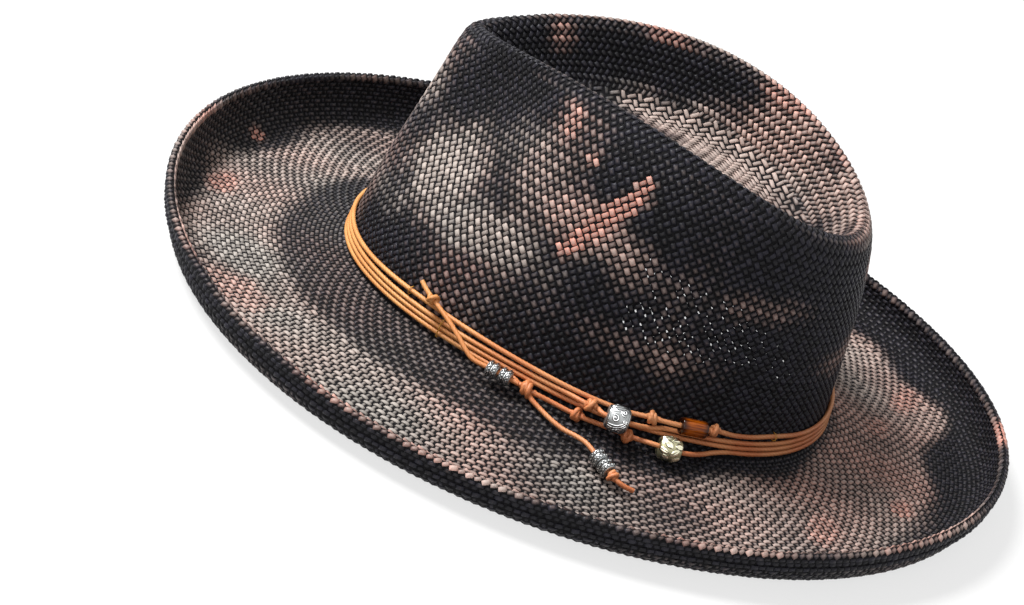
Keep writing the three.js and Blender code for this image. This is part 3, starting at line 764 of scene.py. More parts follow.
def rondelle_outline():
    half, end = RONDELLE_HALF, RONDELLE_END
    y = np.linspace(-half + RONDELLE_LIP, half - RONDELLE_LIP, 30)
    ridges = np.maximum(bump(y, -RIDGE_OFF, RIDGE_SPREAD), bump(y, RIDGE_OFF, RIDGE_SPREAD))
    outside = [(RONDELLE_WAIST + RIDGE_RISE * r, v) for r, v in zip(ridges, y)]
    return [(BORE, -half), (end, -half), *outside, (end, half), (BORE, half)]


def granules(around, along):
    """Rows of small grains on each ridge, and a thin ring between them."""
    angle = around / (RONDELLE_WAIST + RIDGE_RISE)
    rows = np.zeros(np.broadcast(around, along).shape)
    for centre, shift in GRAIN_ROWS:
        grain = 0.5 + 0.5 * np.cos(GRAINS * angle + shift * FULL_TURN)
        rows = np.maximum(rows, GRAIN_HEIGHT * grain * bump(along, centre, 0.3))
    return rows + RING_HEIGHT * bump(along, 0, 0.22)


END_BEADS = (("loose_end", "slider", LOOSE_END[1:3]), ("tail", "tail", TAIL[6:8]))
for end, kind, ends in END_BEADS:
    [bead(f"{kind}_bead_{number}", f"{kind}_{number}", "silver", ends, rondelle_outline(),
                           granules, SILVER_FINISH, steps=112, share=number - 1) for number in (1, 2)]


# %% Scroll and leaf beads
def wire_relief(around, along, period, strokes):
    """Raised wires along strokes drawn on the unrolled bead, repeated every period."""
    s = np.mod(around + period / 2, period) - period / 2
    flat = np.stack(np.broadcast_arrays(s, along), -1).reshape(-1, 2)
    nearest = np.full(len(flat), 1e3)
    for stroke in strokes:
        for shift in (-period, 0, period):
            points = stroke + (shift, 0)
            for start in range(0, len(points), 24):
                gap = np.linalg.norm(flat[:, None] - points[None, start : start + 24], axis=2).min(1)
                nearest = np.minimum(nearest, gap)
    return (WIRE_HEIGHT * bump(nearest, 0, WIRE_WIDTH)).reshape(np.broadcast(around, along).shape)


def spiral(centre, size, turns, start, hand=1):
    f = np.linspace(0.12, 1, 44)
    angle = hand * f * turns * FULL_TURN + start
    return np.stack([centre[0] + size * f * np.cos(angle), centre[1] + size * f * np.sin(angle)], -1)


def stroke_between(a, b, bow):
    f = np.linspace(0, 1, 30)[:, None]
    a, b = np.array(a), np.array(b)
    sideways = np.array([-(b - a)[1], (b - a)[0]])
    return a + (b - a) * f + sideways * bow * np.sin(math.pi * f)


SCROLL_RADIUS = 5.25
SCROLL_PERIOD = FULL_TURN * SCROLL_RADIUS / 4
WIRE_WIDTH, WIRE_HEIGHT = 0.25, 0.34
RIM_LEVEL, RIM_HEIGHT = 3.85, 0.2


def scrolls(around, along):
    """Spirals and slanting strokes of raised wire, four times round, between two thin rims."""
    half = SCROLL_PERIOD / 2
    strokes = [
        spiral((-half * 0.62, -1.5), 1.5, 1.5, 0.4), spiral((half * 0.62, 1.5), 1.5, 1.5, 3.5),
        spiral((-half * 0.5, 2.4), 0.95, 1.2, 2.2, -1), spiral((half * 0.5, -2.4), 0.95, 1.2, 5.4, -1)]
    for step in (-1.1, 0, 1.1):
        strokes.append(stroke_between((step - 1.5, 3.4), (step + 1.5, -3.4), 0.14))
    rims = RIM_HEIGHT * (bump(along, -RIM_LEVEL, 0.22) + bump(along, RIM_LEVEL, 0.22))
    return np.maximum(wire_relief(around, along, SCROLL_PERIOD, strokes), rims)


LEAF_PERIOD = FULL_TURN * 4.8 / 5


# each leaf: where round its period, mm along the bead, and its lean in radians
LEAVES = ((-0.25, 1.5, 0.75), (0.25, -1.5, -0.75), (0.25, 3.1, 0.2), (-0.25, -3.1, -0.2))
LEAF_HALF, LEAF_WIDTH, LEAF_HEIGHT = 2.3, 1.5, 0.42
RIB_DEPTH, RIB_WIDTH = 0.2, 0.16


def leaves(around, along):
    """Pointed leaves with a sunk midrib, leaning left and right by turns."""
    raised = np.zeros(np.broadcast(around, along).shape)
    for centre, level, lean in LEAVES:
        for shift in (-1, 0, 1):
            s = np.mod(around, LEAF_PERIOD) - LEAF_PERIOD * (0.5 + centre + shift)
            u = s * math.cos(lean) + (along - level) * math.sin(lean)
            v = -s * math.sin(lean) + (along - level) * math.cos(lean)
            inside = np.clip(1 - (v / LEAF_HALF) ** 2, 0, 1) * LEAF_WIDTH
            edge = np.clip(1 - (u / np.maximum(inside, 0.05)) ** 2, 0, 1)
            leaf = LEAF_HEIGHT * edge**0.6 * (inside > 0.08)
            raised = np.maximum(raised, leaf - RIB_DEPTH * bump(u, 0, RIB_WIDTH) * (inside > 0.2))
    return raised


scroll_bead = bead("scroll_bead", "scroll", "silver", straight_after("middle", 108.9),
                   barrel_outline(SCROLL_RADIUS, 3.4, stations=56), scrolls, SILVER_FINISH, steps=200)
leaf_bead = bead("leaf_bead", "leaf", "pale_gold", straight_after("lower", 120.6),
                 barrel_outline(4.7, 3.0, stations=52), leaves, GOLD_FINISH, steps=190)
print("scroll bead has", len(scroll_bead.data.polygons), "faces, leaf bead", len(leaf_bead.data.polygons))


# %% [markdown]
# The amber bead is a short tube of brown glass. Its wall is thick, so it is nearly black
# where the eye looks along the glass and glows orange where light comes through the side;
# here the dark ends are painted shade in its colour, over an orange body with streaks.
# It is a true tube with rounded lips, and faint streaks run along it as in drawn glass.

# %% Amber glass bead
AMBER_ENDS = straight_after("upper", 124.9)


def amber_glass():
    made, tree, _ = finish_named("drawn_amber_glass", Roughness=0.1, IOR=1.52, Specular_IOR_Level=0.25,
                                 Transmission_Weight=0.1)
    place = put(tree, "ShaderNodeTexCoord").outputs["Object"]
    centre, axes = frame_between(AMBER_ENDS)
    off = put(tree, "ShaderNodeVectorMath", {0: place, 1: tuple(centre * MM)}, operation="SUBTRACT")
    down = [put(tree, "ShaderNodeVectorMath", {0: off, 1: tuple(axis)}, operation="DOT_PRODUCT").outputs[1]
            for axis in axes * ((150.0,), (1500.0,), (1500.0,))]
    drawn = put(tree, "ShaderNodeCombineXYZ", {0: down[0], 1: down[1], 2: down[2]})
    streak = put(tree, "ShaderNodeTexNoise", {"Vector": drawn, "Scale": 1, "Detail": 2})
    from_end = put(tree, "ShaderNodeMath", {0: down[0]}, operation="ABSOLUTE")
    share = put(tree, "ShaderNodeMapRange", {0: streak, 1: 0.3, 2: 0.75, 3: 0, 4: 1}, **EASED)
    body = put(tree, "ShaderNodeMix", {0: share, 6: "#6a2a04", 7: "#b85c0c"}, **COLOURS).outputs[2]
    # painted shade: the ends are darker, as where the eye looks along the glass
    ends = put(tree, "ShaderNodeMapRange", {0: from_end, 1: 0.35, 2: 0.82, 3: 0, 4: 1}, **EASED)
    colour = put(tree, "ShaderNodeMix", {0: ends, 6: body, 7: "#2a0f04"}, **COLOURS).outputs[2]
    return fed(made, Base_Color=colour)


def lip_outline(radius, half, lip):
    corner = np.radians(np.linspace(0, 90, 6))
    near = [(radius - lip + lip * math.sin(a), -half + lip - lip * math.cos(a)) for a in corner]
    far = [(r, -y) for r, y in reversed(near)]
    return [(BORE, -half), *near, *far, (BORE, half)]


def no_relief(around, along):
    return 0 * around * along


amber_bead = bead("amber_bead", "amber", "amber", AMBER_ENDS, lip_outline(radius=3.3, half=5.5, lip=0.7),
                  no_relief, amber_glass(), steps=64)
print("amber bead has", len(amber_bead.data.polygons), "faces")


# %% [markdown]
# Thread tacks. Three short loops of gold polyester thread hold the cords down on the
# straw. They are the same kind of thing as the cords, only thinner, so the same tree makes
# them, with two strands and a tighter twist.

# %% Thread tacks
def polyester_thread():
    made, tree, _ = finish_named("twisted_polyester_thread", Roughness=0.45)
    ridge = put(tree, "ShaderNodeAttribute", attribute_name="ridge").outputs["Fac"]
    # painted shade: the grooves between the two strands are darker
    shade = put(tree, "ShaderNodeMapRange", {0: ridge, 1: -1, 2: 0.6, 3: 0, 4: 1}, **EASED)
    colour = put(tree, "ShaderNodeMix", {0: shade, 6: "#7a5014", 7: "#d79a3b"}, **COLOURS).outputs[2]
    return fed(made, Base_Color=colour)


THREAD_FINISH = polyester_thread()
THREAD_RADIUS = 0.25
TACKS = ((58.8, 3, 3), (69.8, 0, 2), (152.2, 3, 3))  # degrees round the hat, first and last cord held
reach = CORD_RADIUS + GAP + THREAD_RADIUS
for number, (degrees, first_row, last_row) in enumerate(TACKS, 1):
    t = np.radians(np.full(4, degrees))
    stations = []
    for row, start, stop in ((first_row, -105, 0), (last_row, 0, 105)):
        a = np.radians(np.linspace(start, stop, 4))
        stations.append(over_wall(t, cord_level(t, row) + reach * np.sin(a), SNUG + reach * np.cos(a)))
    tack_points = np.concatenate(stations)
    keep = np.concatenate([[True], np.linalg.norm(np.diff(tack_points, axis=0), axis=1) > 0.01])
    tack_line = smooth_line(tack_points[keep], spacing=0.15)
    tack = laid(f"thread_tack_{number}_sewn", tack_line, radius=THREAD_RADIUS, strands=2, lobe=0.14, turn=1.2,
                spacing=0.12, sides=8, finish=THREAD_FINISH)
    belongs(tack, "hat", "thread", f"thread_tack_{number}")
print("sewn", len(TACKS), "tacks")


# %% [markdown]
# The backing of the weave. Under the visible straws of a woven hat lie the straws that
# pass behind them, dark and close. One thin closed shell stands for that layer, and the
# visible straws are set into it. It is coloured darker than the dyed straws, so the gaps
# between them show painted shade as well as dyed straw. On one patch of the wearer's left
# the weave is open, and light comes through between the straws, so the shell has a window there.

# %% Backing shell
WINDOW_FROM, WINDOW_TO = 104, 162  # degrees round the hat
WINDOW_MIDDLES, WINDOW_HALVES = (62, 50), (16, 10)  # heights in mm at its two ends
PRICKED = 0.36  # share of the window's cells that are left open


def window_at(t, z):
    """Where the open patch of the weave is: angles round the hat and heights, in mm."""
    a = np.degrees(from_front(t)) * np.sign(np.sin(t))
    f = np.clip((a - WINDOW_FROM) / (WINDOW_TO - WINDOW_FROM), 0, 1)
    near = np.abs(z - mix(*WINDOW_MIDDLES, f)) < mix(*WINDOW_HALVES, f)
    return (a > WINDOW_FROM) & (a < WINDOW_TO) & near


def shell_faces(keep):
    """Faces of a closed shell on a grid: kept cells on both skins, a wall at every edge, two poles."""
    n, m = keep.shape[0], keep.shape[1] + 1
    half = n * m
    faces = []

    def at(i, j, skin):
        return skin * half + (i % n) * m + j

    for i in range(n):
        for j in range(m - 1):
            if not keep[i, j]:
                continue
            a, b, c, d = at(i, j, 0), at(i + 1, j, 0), at(i + 1, j + 1, 0), at(i, j + 1, 0)
            faces.append((a, b, c, d))
            faces.append((a + half, d + half, c + half, b + half))
            if not keep[i - 1, j]:
                faces.append((a, d, d + half, a + half))
            if not keep[(i + 1) % n, j]:
                faces.append((b, b + half, c + half, c))
            if j == 0 or not keep[i, j - 1]:
                faces.append((a, a + half, b + half, b))
            if j < m - 2 and not keep[i, j + 1]:
                faces.append((d, c, c + half, d + half))
        last = m - 1
        faces.append((at(i, last, 0), at(i + 1, last, 0), 2 * half))
        faces.append((at(i, last, 1), 2 * half + 1, at(i + 1, last, 1)))
    return faces


def straw_backing():
    made, tree, _ = finish_named("dyed_straw_backing_painted_gap_shade", Roughness=0.8, Specular_IOR_Level=0.15)
    place = put(tree, "ShaderNodeTexCoord").outputs["Object"]
    grain = put(tree, "ShaderNodeTexNoise", {"Vector": place, "Scale": 420, "Detail": 3})
    share = put(tree, "ShaderNodeMapRange", {0: grain, 1: 0.4, 2: 0.7, 3: 0, 4: 1}, **EASED)
    # dyed straw, painted darker than the visible straws as the shade in the gaps of the weave
    colour = put(tree, "ShaderNodeMix", {0: share, 6: "#050406", 7: "#0c0b0d"}, **COLOURS).outputs[2]
    relief = put(tree, "ShaderNodeBump", {"Strength": 0.5, "Distance": 0.0003, "Height": grain})
    return fed(made, Base_Color=colour, Normal=relief)


SKIN = 0.12  # half the shell's thickness, mm
WALL_PLACES = (11.5, 20)  # the window may only open between these places
ring_angles = np.linspace(0, FULL_TURN, 360, endpoint=False)
hem_runs = FOLD_LENGTH + np.array((HEM_LENGTH, 4.4, HEM_EASE, 1.4))
fold_runs = np.concatenate([hem_runs, np.linspace(FOLD_LENGTH, 0.5, 8)])
shell_places = np.concatenate([np.linspace(0, 4, 14, endpoint=False), np.linspace(4, 11, 20, endpoint=False),
                               np.linspace(11, 20, 50, endpoint=False), np.linspace(20, 29.6, 40)])
shell_rows = [folded(ring_angles, run) for run in fold_runs]
shell_rows += [surface(ring_angles, place)[:2] for place in shell_places]
shell_points, shell_normals = (np.stack(part, 1) for part in zip(*shell_rows))
on_wall = np.concatenate([0 * fold_runs, (shell_places > WALL_PLACES[0]) & (shell_places < WALL_PLACES[1])])
open_patch = window_at(ring_angles[:, None], shell_points[..., 2] * on_wall)[:, :-1]
pricks = np.random.default_rng(17).random(open_patch.shape) < PRICKED
keep_cells = ~(open_patch & np.roll(open_patch, -1, 0) & pricks)
skins = [(shell_points + shell_normals * off).reshape(-1, 3) for off in (SKIN, -SKIN)]
pole = on_profile(profile(np.zeros(1)), np.array([float(LAST_PLACE)]))
backing = solid("straw_backing_shell", np.concatenate([*skins, pole + (0, 0, SKIN), pole - (0, 0, SKIN)]),
                shell_faces(keep_cells), straw_backing())
belongs(backing, "hat", "straw", "straw_body")
print("backing has", len(backing.data.polygons), "faces, window of", int((~keep_cells).sum()), "cells")


# %% [markdown]
# The visible straws. Each place where a straw comes to the surface is one small domed
# cell, about 2.4 mm across. Thousands of them cover the hat, so a Geometry Nodes tree
# copies one cell of 28 triangles to points that carry a heading, a size and how faded that
# straw is. A weave drawn in bump would be cheaper, but its edge would stay smooth, and
# light could not pass through the open corners of the weave.

# %% The cell and its tree
def straw_cell(name, stations, section):
    """A closed domed cell one unit long and wide, its base on z = 0 and its top at z = 1."""
    points = [(x, y, z * top) for x, top in stations for y, z in section]
    cell = solid(name, np.array(points) / MM, ring_faces(len(stations), len(section), closed=False))
    map_layer = cell.data.uv_layers.new(name="straw")
    for loop in cell.data.loops:
        x, y, _ = cell.data.vertices[loop.vertex_index].co
        map_layer.data[loop.index].uv = (x + 0.5, y + 0.5)
    return cell


def weave_tree():
    tree, given, out = tree_with("woven_straws", [
        ("Cell", "NodeSocketObject"), ("Thickness", "NodeSocketFloat"), ("Seed", "NodeSocketInt"),
        ("Uneven", "NodeSocketFloat"), ("Material", "NodeSocketMaterial")])
    names = {}
    for key in ("heading", "outward", "size"):
        names[key] = put(tree, "GeometryNodeInputNamedAttribute", {0: key}, data_type="FLOAT_VECTOR")
    turned = put(tree, "FunctionNodeAxesToRotation", {0: names["outward"], 1: names["heading"]},
                 primary_axis="Z", secondary_axis="X")
    least = put(tree, "ShaderNodeMath", {0: 1.0, 1: given["Uneven"]}, operation="SUBTRACT")
    most = put(tree, "ShaderNodeMath", {0: 1.0, 1: given["Uneven"]}, operation="ADD")
    vary = put(tree, "FunctionNodeRandomValue", {2: least, 3: most, 8: given["Seed"]},
               data_type="FLOAT")
    uneven = put(tree, "ShaderNodeVectorMath", {0: names["size"], 3: vary.outputs[1]}, operation="SCALE")
    thick = put(tree, "ShaderNodeCombineXYZ", {0: 1.0, 1: 1.0, 2: given["Thickness"]})
    sized = put(tree, "ShaderNodeVectorMath", {0: uneven, 1: thick}, operation="MULTIPLY")
    tone = put(tree, "FunctionNodeRandomValue", {2: 0.0, 3: 1.0, 8: given["Seed"]}, data_type="FLOAT")
    toned = put(tree, "GeometryNodeStoreNamedAttribute",
                {0: given["Geometry"], 2: "tone", 3: tone.outputs[1]}, **ON_POINTS)
    cell = put(tree, "GeometryNodeObjectInfo", {0: given["Cell"]})
    copies = put(tree, "GeometryNodeInstanceOnPoints",
                 {0: toned, 2: cell.outputs["Geometry"], 5: turned, 6: sized})
    real = put(tree, "GeometryNodeRealizeInstances", {0: copies})
    done = put(tree, "GeometryNodeSetMaterial", {0: real, 2: given["Material"]})
    tree.links.new(done.outputs[0], out[0])
    return tree


WOVEN = weave_tree()
SECTION = ((-0.5, 0), (-0.3, 1), (0.3, 1), (0.5, 0))
PILLOW = straw_cell("pillow_cell", ((-0.5, 0.18), (-0.2, 1), (0.2, 1), (0.5, 0.18)), SECTION)
LINING = straw_cell("lining_cell", ((-0.5, 0.25), (0, 1), (0.5, 0.25)), SECTION)
print("a cell has", len(PILLOW.data.polygons), "faces, a lining cell", len(LINING.data.polygons))


# %% [markdown]
# Fading. The hat was dyed nearly black and then rubbed and bleached: grey, beige and
# salmon patches lie on the high parts, and a broad ring of the brim is rubbed. Each straw
# has one amount of fade and one hue, from a short list of patches and slow random waves.
# Painting over the whole surface would blur across the straws, which real fading does not. Part of the fade
# stands for light: the lower straws and the rim on the wearer's right keep less of it as painted shade, and
# the far ridge takes more as painted sheen.

# %% How faded each straw is
def slow_waves(points, wavelength, seed):
    """Smooth random values from about -1 to 1 that change over a wavelength in mm."""
    rng = np.random.default_rng(seed)
    total = np.zeros(len(points))
    for _ in range(7):
        heading = unit(rng.normal(size=3))
        length = wavelength * rng.uniform(0.6, 1.6)
        total += np.sin(points @ heading * FULL_TURN / length + rng.uniform(0, FULL_TURN))
    return total / 2.6


CROWN_PATCHES = (
    # centre x, y, z and reach x, y, z in mm, how faded, hue from grey 0 to salmon 1
    ((45, -67, 61), (24, 25, 23), 1.0, 0.1), ((66, -44, 54), (14, 28, 13), 0.6, 0.05),
    ((72, -28, 58), (13, 28, 13), 0.6, 0.12), ((52, -40, 88), (16, 24, 16), 0.36, 0.15),
    ((64, -24, 80), (14, 28, 19), 0.34, 0.3), ((73, 2, 79), (14, 22, 15), 0.85, 0.5),
    ((76, 22, 72), (12, 22, 13), 0.4, 0.4), ((50, 74, 70), (32, 30, 9), 0.4, 0.5),
    ((76, 42, 43), (20, 46, 9), 0.36, 0.45), ((40, -84, 38), (25, 22, 9), 0.3, 0.1),
    ((57, -22, 107), (6, 4, 8), 0.85, 0.75), ((50, -27, 116), (6, 5, 5), 0.65, 0.6),
    ((66, -8, 101), (5, 3, 4), 0.7, 0.75), ((-60, 30, 62), (30, 45, 14), 0.62, 0.4),
    ((-55, -40, 74), (22, 30, 12), 0.7, 0.1), ((-70, 10, 96), (14, 12, 9), 0.85, 0.9),
    ((0, 102, 46), (40, 14, 10), 0.45, 0.5), ((-20, 92, 78), (26, 16, 8), 0.6, 0.7),
    ((12, -92, 80), (16, 12, 14), 0.5, 0.15))
DENT_PATCHES = (
    ((-34, 25, 87), (17, 68, 14), 1.0, 0.22), ((0, 20, 84), (30, 50, 12), 0.8, 0.2),
    ((-46, 44, 100), (13, 32, 13), 0.8, 0.45), ((-26, 74, 93), (24, 22, 15), 0.75, 0.35),
    ((-46, -15, 117), (7, 18, 5), 0.5, 0.85), ((-52, 36, 112), (9, 16, 5), 0.5, 0.75),
    ((-24, -57, 106), (7, 8, 9), 0.55, 0.75), ((0, 60, 86), (26, 26, 12), 0.7, 0.25),
    ((28, 40, 96), (12, 26, 10), 0.6, 0.25))
BRIM_PATCHES = (
    ((-30, -169, 2), (5, 4, 9), 1.0, 0.95), ((22, -160, 1), (12, 7, 9), 0.85, 0.75),
    ((-79, 128, 2), (14, 7, 9), 0.9, 0.75), ((-40, 124, 3), (12, 6, 9), 0.9, 0.7),
    ((60, 128, 2), (13, 7, 9), 0.9, 0.7), ((14, 150, 1), (8, 6, 9), 0.95, 0.8),
    ((100, -118, 2), (14, 20, 9), 0.5, 0.5), ((-96, -104, 2), (12, 18, 9), 0.8, 0.8))
STREAK_LOW, STREAK_RUN = np.array((76.4, -4, 67.0)), np.array((-7.1, 19, 32.5))  # a salmon streak on the left


def patched(points, patches, fade, hue):
    """Adds soft-edged patches to the fade and hue of some straws."""
    ragged = 0.11 * slow_waves(points, 14, 11)
    for centre, size, amount, tint in patches:
        d = np.linalg.norm((points - centre) / size, axis=1) + ragged
        weight = 1 - smooth(0.15, 1.3, d)
        hue = mix(hue, tint, np.clip(1.6 * weight, 0, 1))
        fade = 1 - (1 - fade) * (1 - amount * weight)
    return fade, hue


def crown_fade(points):
    """Cloudy grey at the front, darker towards the back, and one salmon streak."""
    fade = 0.12 + 0.3 * smooth(-0.5, 1.3, slow_waves(points, 60, 3))
    fade = fade * (1 - 0.7 * smooth(30, 65, points[:, 1]))
    hue = 0.35 + 0.2 * slow_waves(points, 45, 4)
    fade, hue = patched(points, CROWN_PATCHES, fade, hue)
    share = np.clip((points - STREAK_LOW) @ STREAK_RUN / (STREAK_RUN @ STREAK_RUN), 0, 1)
    off = np.linalg.norm(points - (STREAK_LOW + share[:, None] * STREAK_RUN), axis=1)
    streak = 1 - smooth(1.8, 6.6, off + 1.2 * slow_waves(points, 7, 8))
    return np.maximum(fade, streak), mix(hue, 1.0, streak)


def dent_fade(points):
    fade = 0.1 + 0.16 * smooth(0, 1, slow_waves(points, 50, 6))
    return patched(points, DENT_PATCHES, fade, 0.35 + 0.2 * slow_waves(points, 30, 7))


def brim_fade(points, t, share):
    """share runs from the foot of the crown, 0, to the rim, 1."""
    wave = slow_waves(points, 80, 9)
    dark_ring = 0.22 + 0.09 * np.cos(t - 0.4) + 0.05 * wave - 0.06 * smooth(1.9, 2.5, from_front(t))
    outer_ring = 0.7 + 0.06 * slow_waves(points, 60, 10) - 0.1 * smooth(2.2, 3.4, from_front(t))
    ring = smooth(-0.05, 0.08, share - dark_ring) * (1 - smooth(-0.08, 0.09, share - outer_ring))
    cloudy = 0.84 + 0.18 * slow_waves(points, 55, 12) - 0.2 * np.exp(-((t - 1.65) / 0.5) ** 2)
    cloudy = cloudy + 0.12 * smooth(1.8, 2.4, from_front(t))
    fade = np.clip(0.14 + 0.24 * np.clip(np.cos(t - 0.8), 0, 1) + 0.62 * ring * cloudy, 0, 1)
    hue = 0.18 + 0.2 * smooth(1.3, 2.3, from_front(t)) + 0.16 * slow_waves(points, 60, 13)
    return patched(points, BRIM_PATCHES, fade, hue)


# %% Straw finish
def dyed_straw():
    made, tree, _ = finish_named("dyed_raffia_straw", IOR=1.48, Specular_IOR_Level=0.2)
    fade = put(tree, "ShaderNodeAttribute", attribute_name="fade").outputs["Fac"]
    hue = put(tree, "ShaderNodeAttribute", attribute_name="hue").outputs["Fac"]
    tone = put(tree, "ShaderNodeAttribute", attribute_name="tone").outputs["Fac"]
    spot = put(tree, "ShaderNodeUVMap", uv_map="straw")
    parts = put(tree, "ShaderNodeSeparateXYZ", {0: spot}).outputs
    off_middle = put(tree, "ShaderNodeVectorMath", {0: spot, 1: (0.5, 0.5, 0)}, operation="SUBTRACT")
    off_middle = put(tree, "ShaderNodeVectorMath", {0: off_middle}, operation="ABSOLUTE")
    off = put(tree, "ShaderNodeSeparateXYZ", {0: off_middle}).outputs
    off_top = put(tree, "ShaderNodeMath", {0: off[0], 1: off[1]}, operation="MAXIMUM")
    # fibres: about 12 lines across a straw and few along it, moved on from straw to straw
    shift = put(tree, "ShaderNodeMath", {0: tone, 1: 61.0}, operation="MULTIPLY")
    lengthwise = put(tree, "ShaderNodeMath", {0: parts[0], 1: 1.6, 2: shift}, operation="MULTIPLY_ADD")
    crosswise = put(tree, "ShaderNodeMath", {0: parts[1], 1: 9.0}, operation="MULTIPLY")
    lines = put(tree, "ShaderNodeCombineXYZ", {0: lengthwise, 1: crosswise, 2: shift})
    fibre = put(tree, "ShaderNodeTexNoise", {"Vector": lines, "Scale": 1.3, "Detail": 3})
    # rubbing starts at the top of each straw and spreads down its sides as the fade grows
    reach = put(tree, "ShaderNodeMath", {0: fade, 1: 1.5}, operation="MULTIPLY")
    reach = put(tree, "ShaderNodeMath", {0: off_top, 1: -1.1, 2: reach}, operation="MULTIPLY_ADD")
    reach = put(tree, "ShaderNodeMath", {0: fibre, 1: 0.3, 2: reach}, operation="MULTIPLY_ADD")
    rubbed = put(tree, "ShaderNodeMapRange", {0: reach, 1: 0, 2: 0.85, 3: 0, 4: 1}, **EASED)
    depth = put(tree, "ShaderNodeMapRange", {0: fade, 1: 0, 2: 0.9, 3: 0.2, 4: 1}, **EASED)
    rubbed = put(tree, "ShaderNodeMath", {0: rubbed, 1: depth}, operation="MULTIPLY")
    # salmon stays strongest low on the straws, where the rubbing was least
    saved = put(tree, "ShaderNodeMapRange", {0: off_top, 1: 0.15, 2: 0.45, 3: 0.55, 4: 1}, **EASED)
    tint = put(tree, "ShaderNodeMath", {0: hue, 1: saved}, operation="MULTIPLY")
    bleached = put(tree, "ShaderNodeMix", {0: tint, 6: "#a09992", 7: "#cf8c7b"}, **COLOURS).outputs[2]
    dyed = put(tree, "ShaderNodeMix", {0: tone, 6: "#0e0d12", 7: "#1b1a22"}, **COLOURS).outputs[2]
    colour = put(tree, "ShaderNodeMix", {0: rubbed, 6: dyed, 7: bleached}, **COLOURS).outputs[2]
    deeper = put(tree, "ShaderNodeMapRange", {0: tone, 1: 0, 2: 1, 3: 0.74, 4: 1.12}, **EASED)
    shaded = put(tree, "ShaderNodeHueSaturation", {"Value": deeper, "Color": colour})
    roughness = put(tree, "ShaderNodeMapRange", {0: fibre, 1: 0.3, 2: 0.7, 3: 0.4, 4: 0.56}, **EASED)
    relief = put(tree, "ShaderNodeBump", {"Strength": 0.3, "Distance": 0.0001, "Height": fibre})
    return fed(made, Base_Color=shaded, Roughness=roughness, Normal=relief)


STRAW_FINISH = dyed_straw()


# %% Setting straws on the surface
RELIEF = 0.6  # top of a straw over the middle surface, mm


def straws(point, normal, heading, length, width, fade, hue, height=1.0):
    """Points of a patch of weave, as a table of columns. No two straws lie quite alike."""
    count = len(point)
    rng = np.random.default_rng(count)
    heading = unit(heading) + np.cross(normal, unit(heading)) * rng.normal(0, 0.06, (count, 1))
    heading = unit(heading - normal * np.sum(heading * normal, 1, keepdims=True))
    size = np.stack([np.broadcast_to(np.asarray(v, float), count) for v in (length, width, height)], -1)
    return {"point": point, "outward": normal, "heading": heading, "size": size * (MM, MM, 1),
            "fade": np.clip(fade, 0, 1), "hue": np.clip(np.broadcast_to(hue, count), 0, 1)}


def joined(tables):
    return {key: np.concatenate([table[key] for table in tables]) for key in tables[0]}


def picked(table, choice):
    return {key: value[choice] for key, value in table.items()}


def weave(name, table, cell, seed, uneven=0.07):
    """Makes one piece of weave from a table of straws."""
    values = {key: table[key] for key in ("outward", "heading", "size", "fade", "hue")}
    seed_object = plain_object(name + "_points", table["point"], values=values)
    piece = grown(name, seed_object, WOVEN, {
        "Cell": cell, "Thickness": RELIEF * MM, "Seed": seed, "Uneven": uneven, "Material": STRAW_FINISH})
    piece.data.calc_loop_triangles()
    print(name, "has", len(table["point"]), "straws,", len(piece.data.loop_triangles), "triangles")
    belongs(piece, "hat", "straw", "straw_body")


def weave_halves(name, table, first_half, cell, seed):
    """Two pieces of weave from one table, which keeps each piece light."""
    for number, half in enumerate((first_half, ~first_half), 1):
        weave(f"{name}_{number}", picked(table, half), cell, seed + number)


def place_on(row, t):
    """The places of a row of the weave at some angles round the hat."""
    return np.interp(np.mod(t, FULL_TURN), AROUND, row)


def on_row(row, t):
    """Point, normal and round-the-hat heading at angles on one row of the weave."""
    point, normal, _ = surface(t, place_on(row, t))
    ahead, _, _ = surface(t + 0.003, place_on(row, t + 0.003))
    return point, normal, ahead - point


# %% [markdown]
# The brim's weave. It is a plain weave of straws that run round the hat, in rows 2.1 mm
# apart, and straws that run out from the crown. At each crossing one or the other is on
# top, by turns. The straws round the hat are broad and stand high, so they are rubbed
# most; the lower straws keep less fade, partly as painted shade. As the rows widen, straws
# are added twice on the way out, as a weaver adds them.

# %% Brim straws
BRIM_ROWS = 47
STRAW_COUNTS = (226, 278, 330)  # crossings in a row, from the crown outwards
ROUND_OVER = (1.06, 0.98, 1.0, 1.0)  # length and width in pitches, height, share of the fade
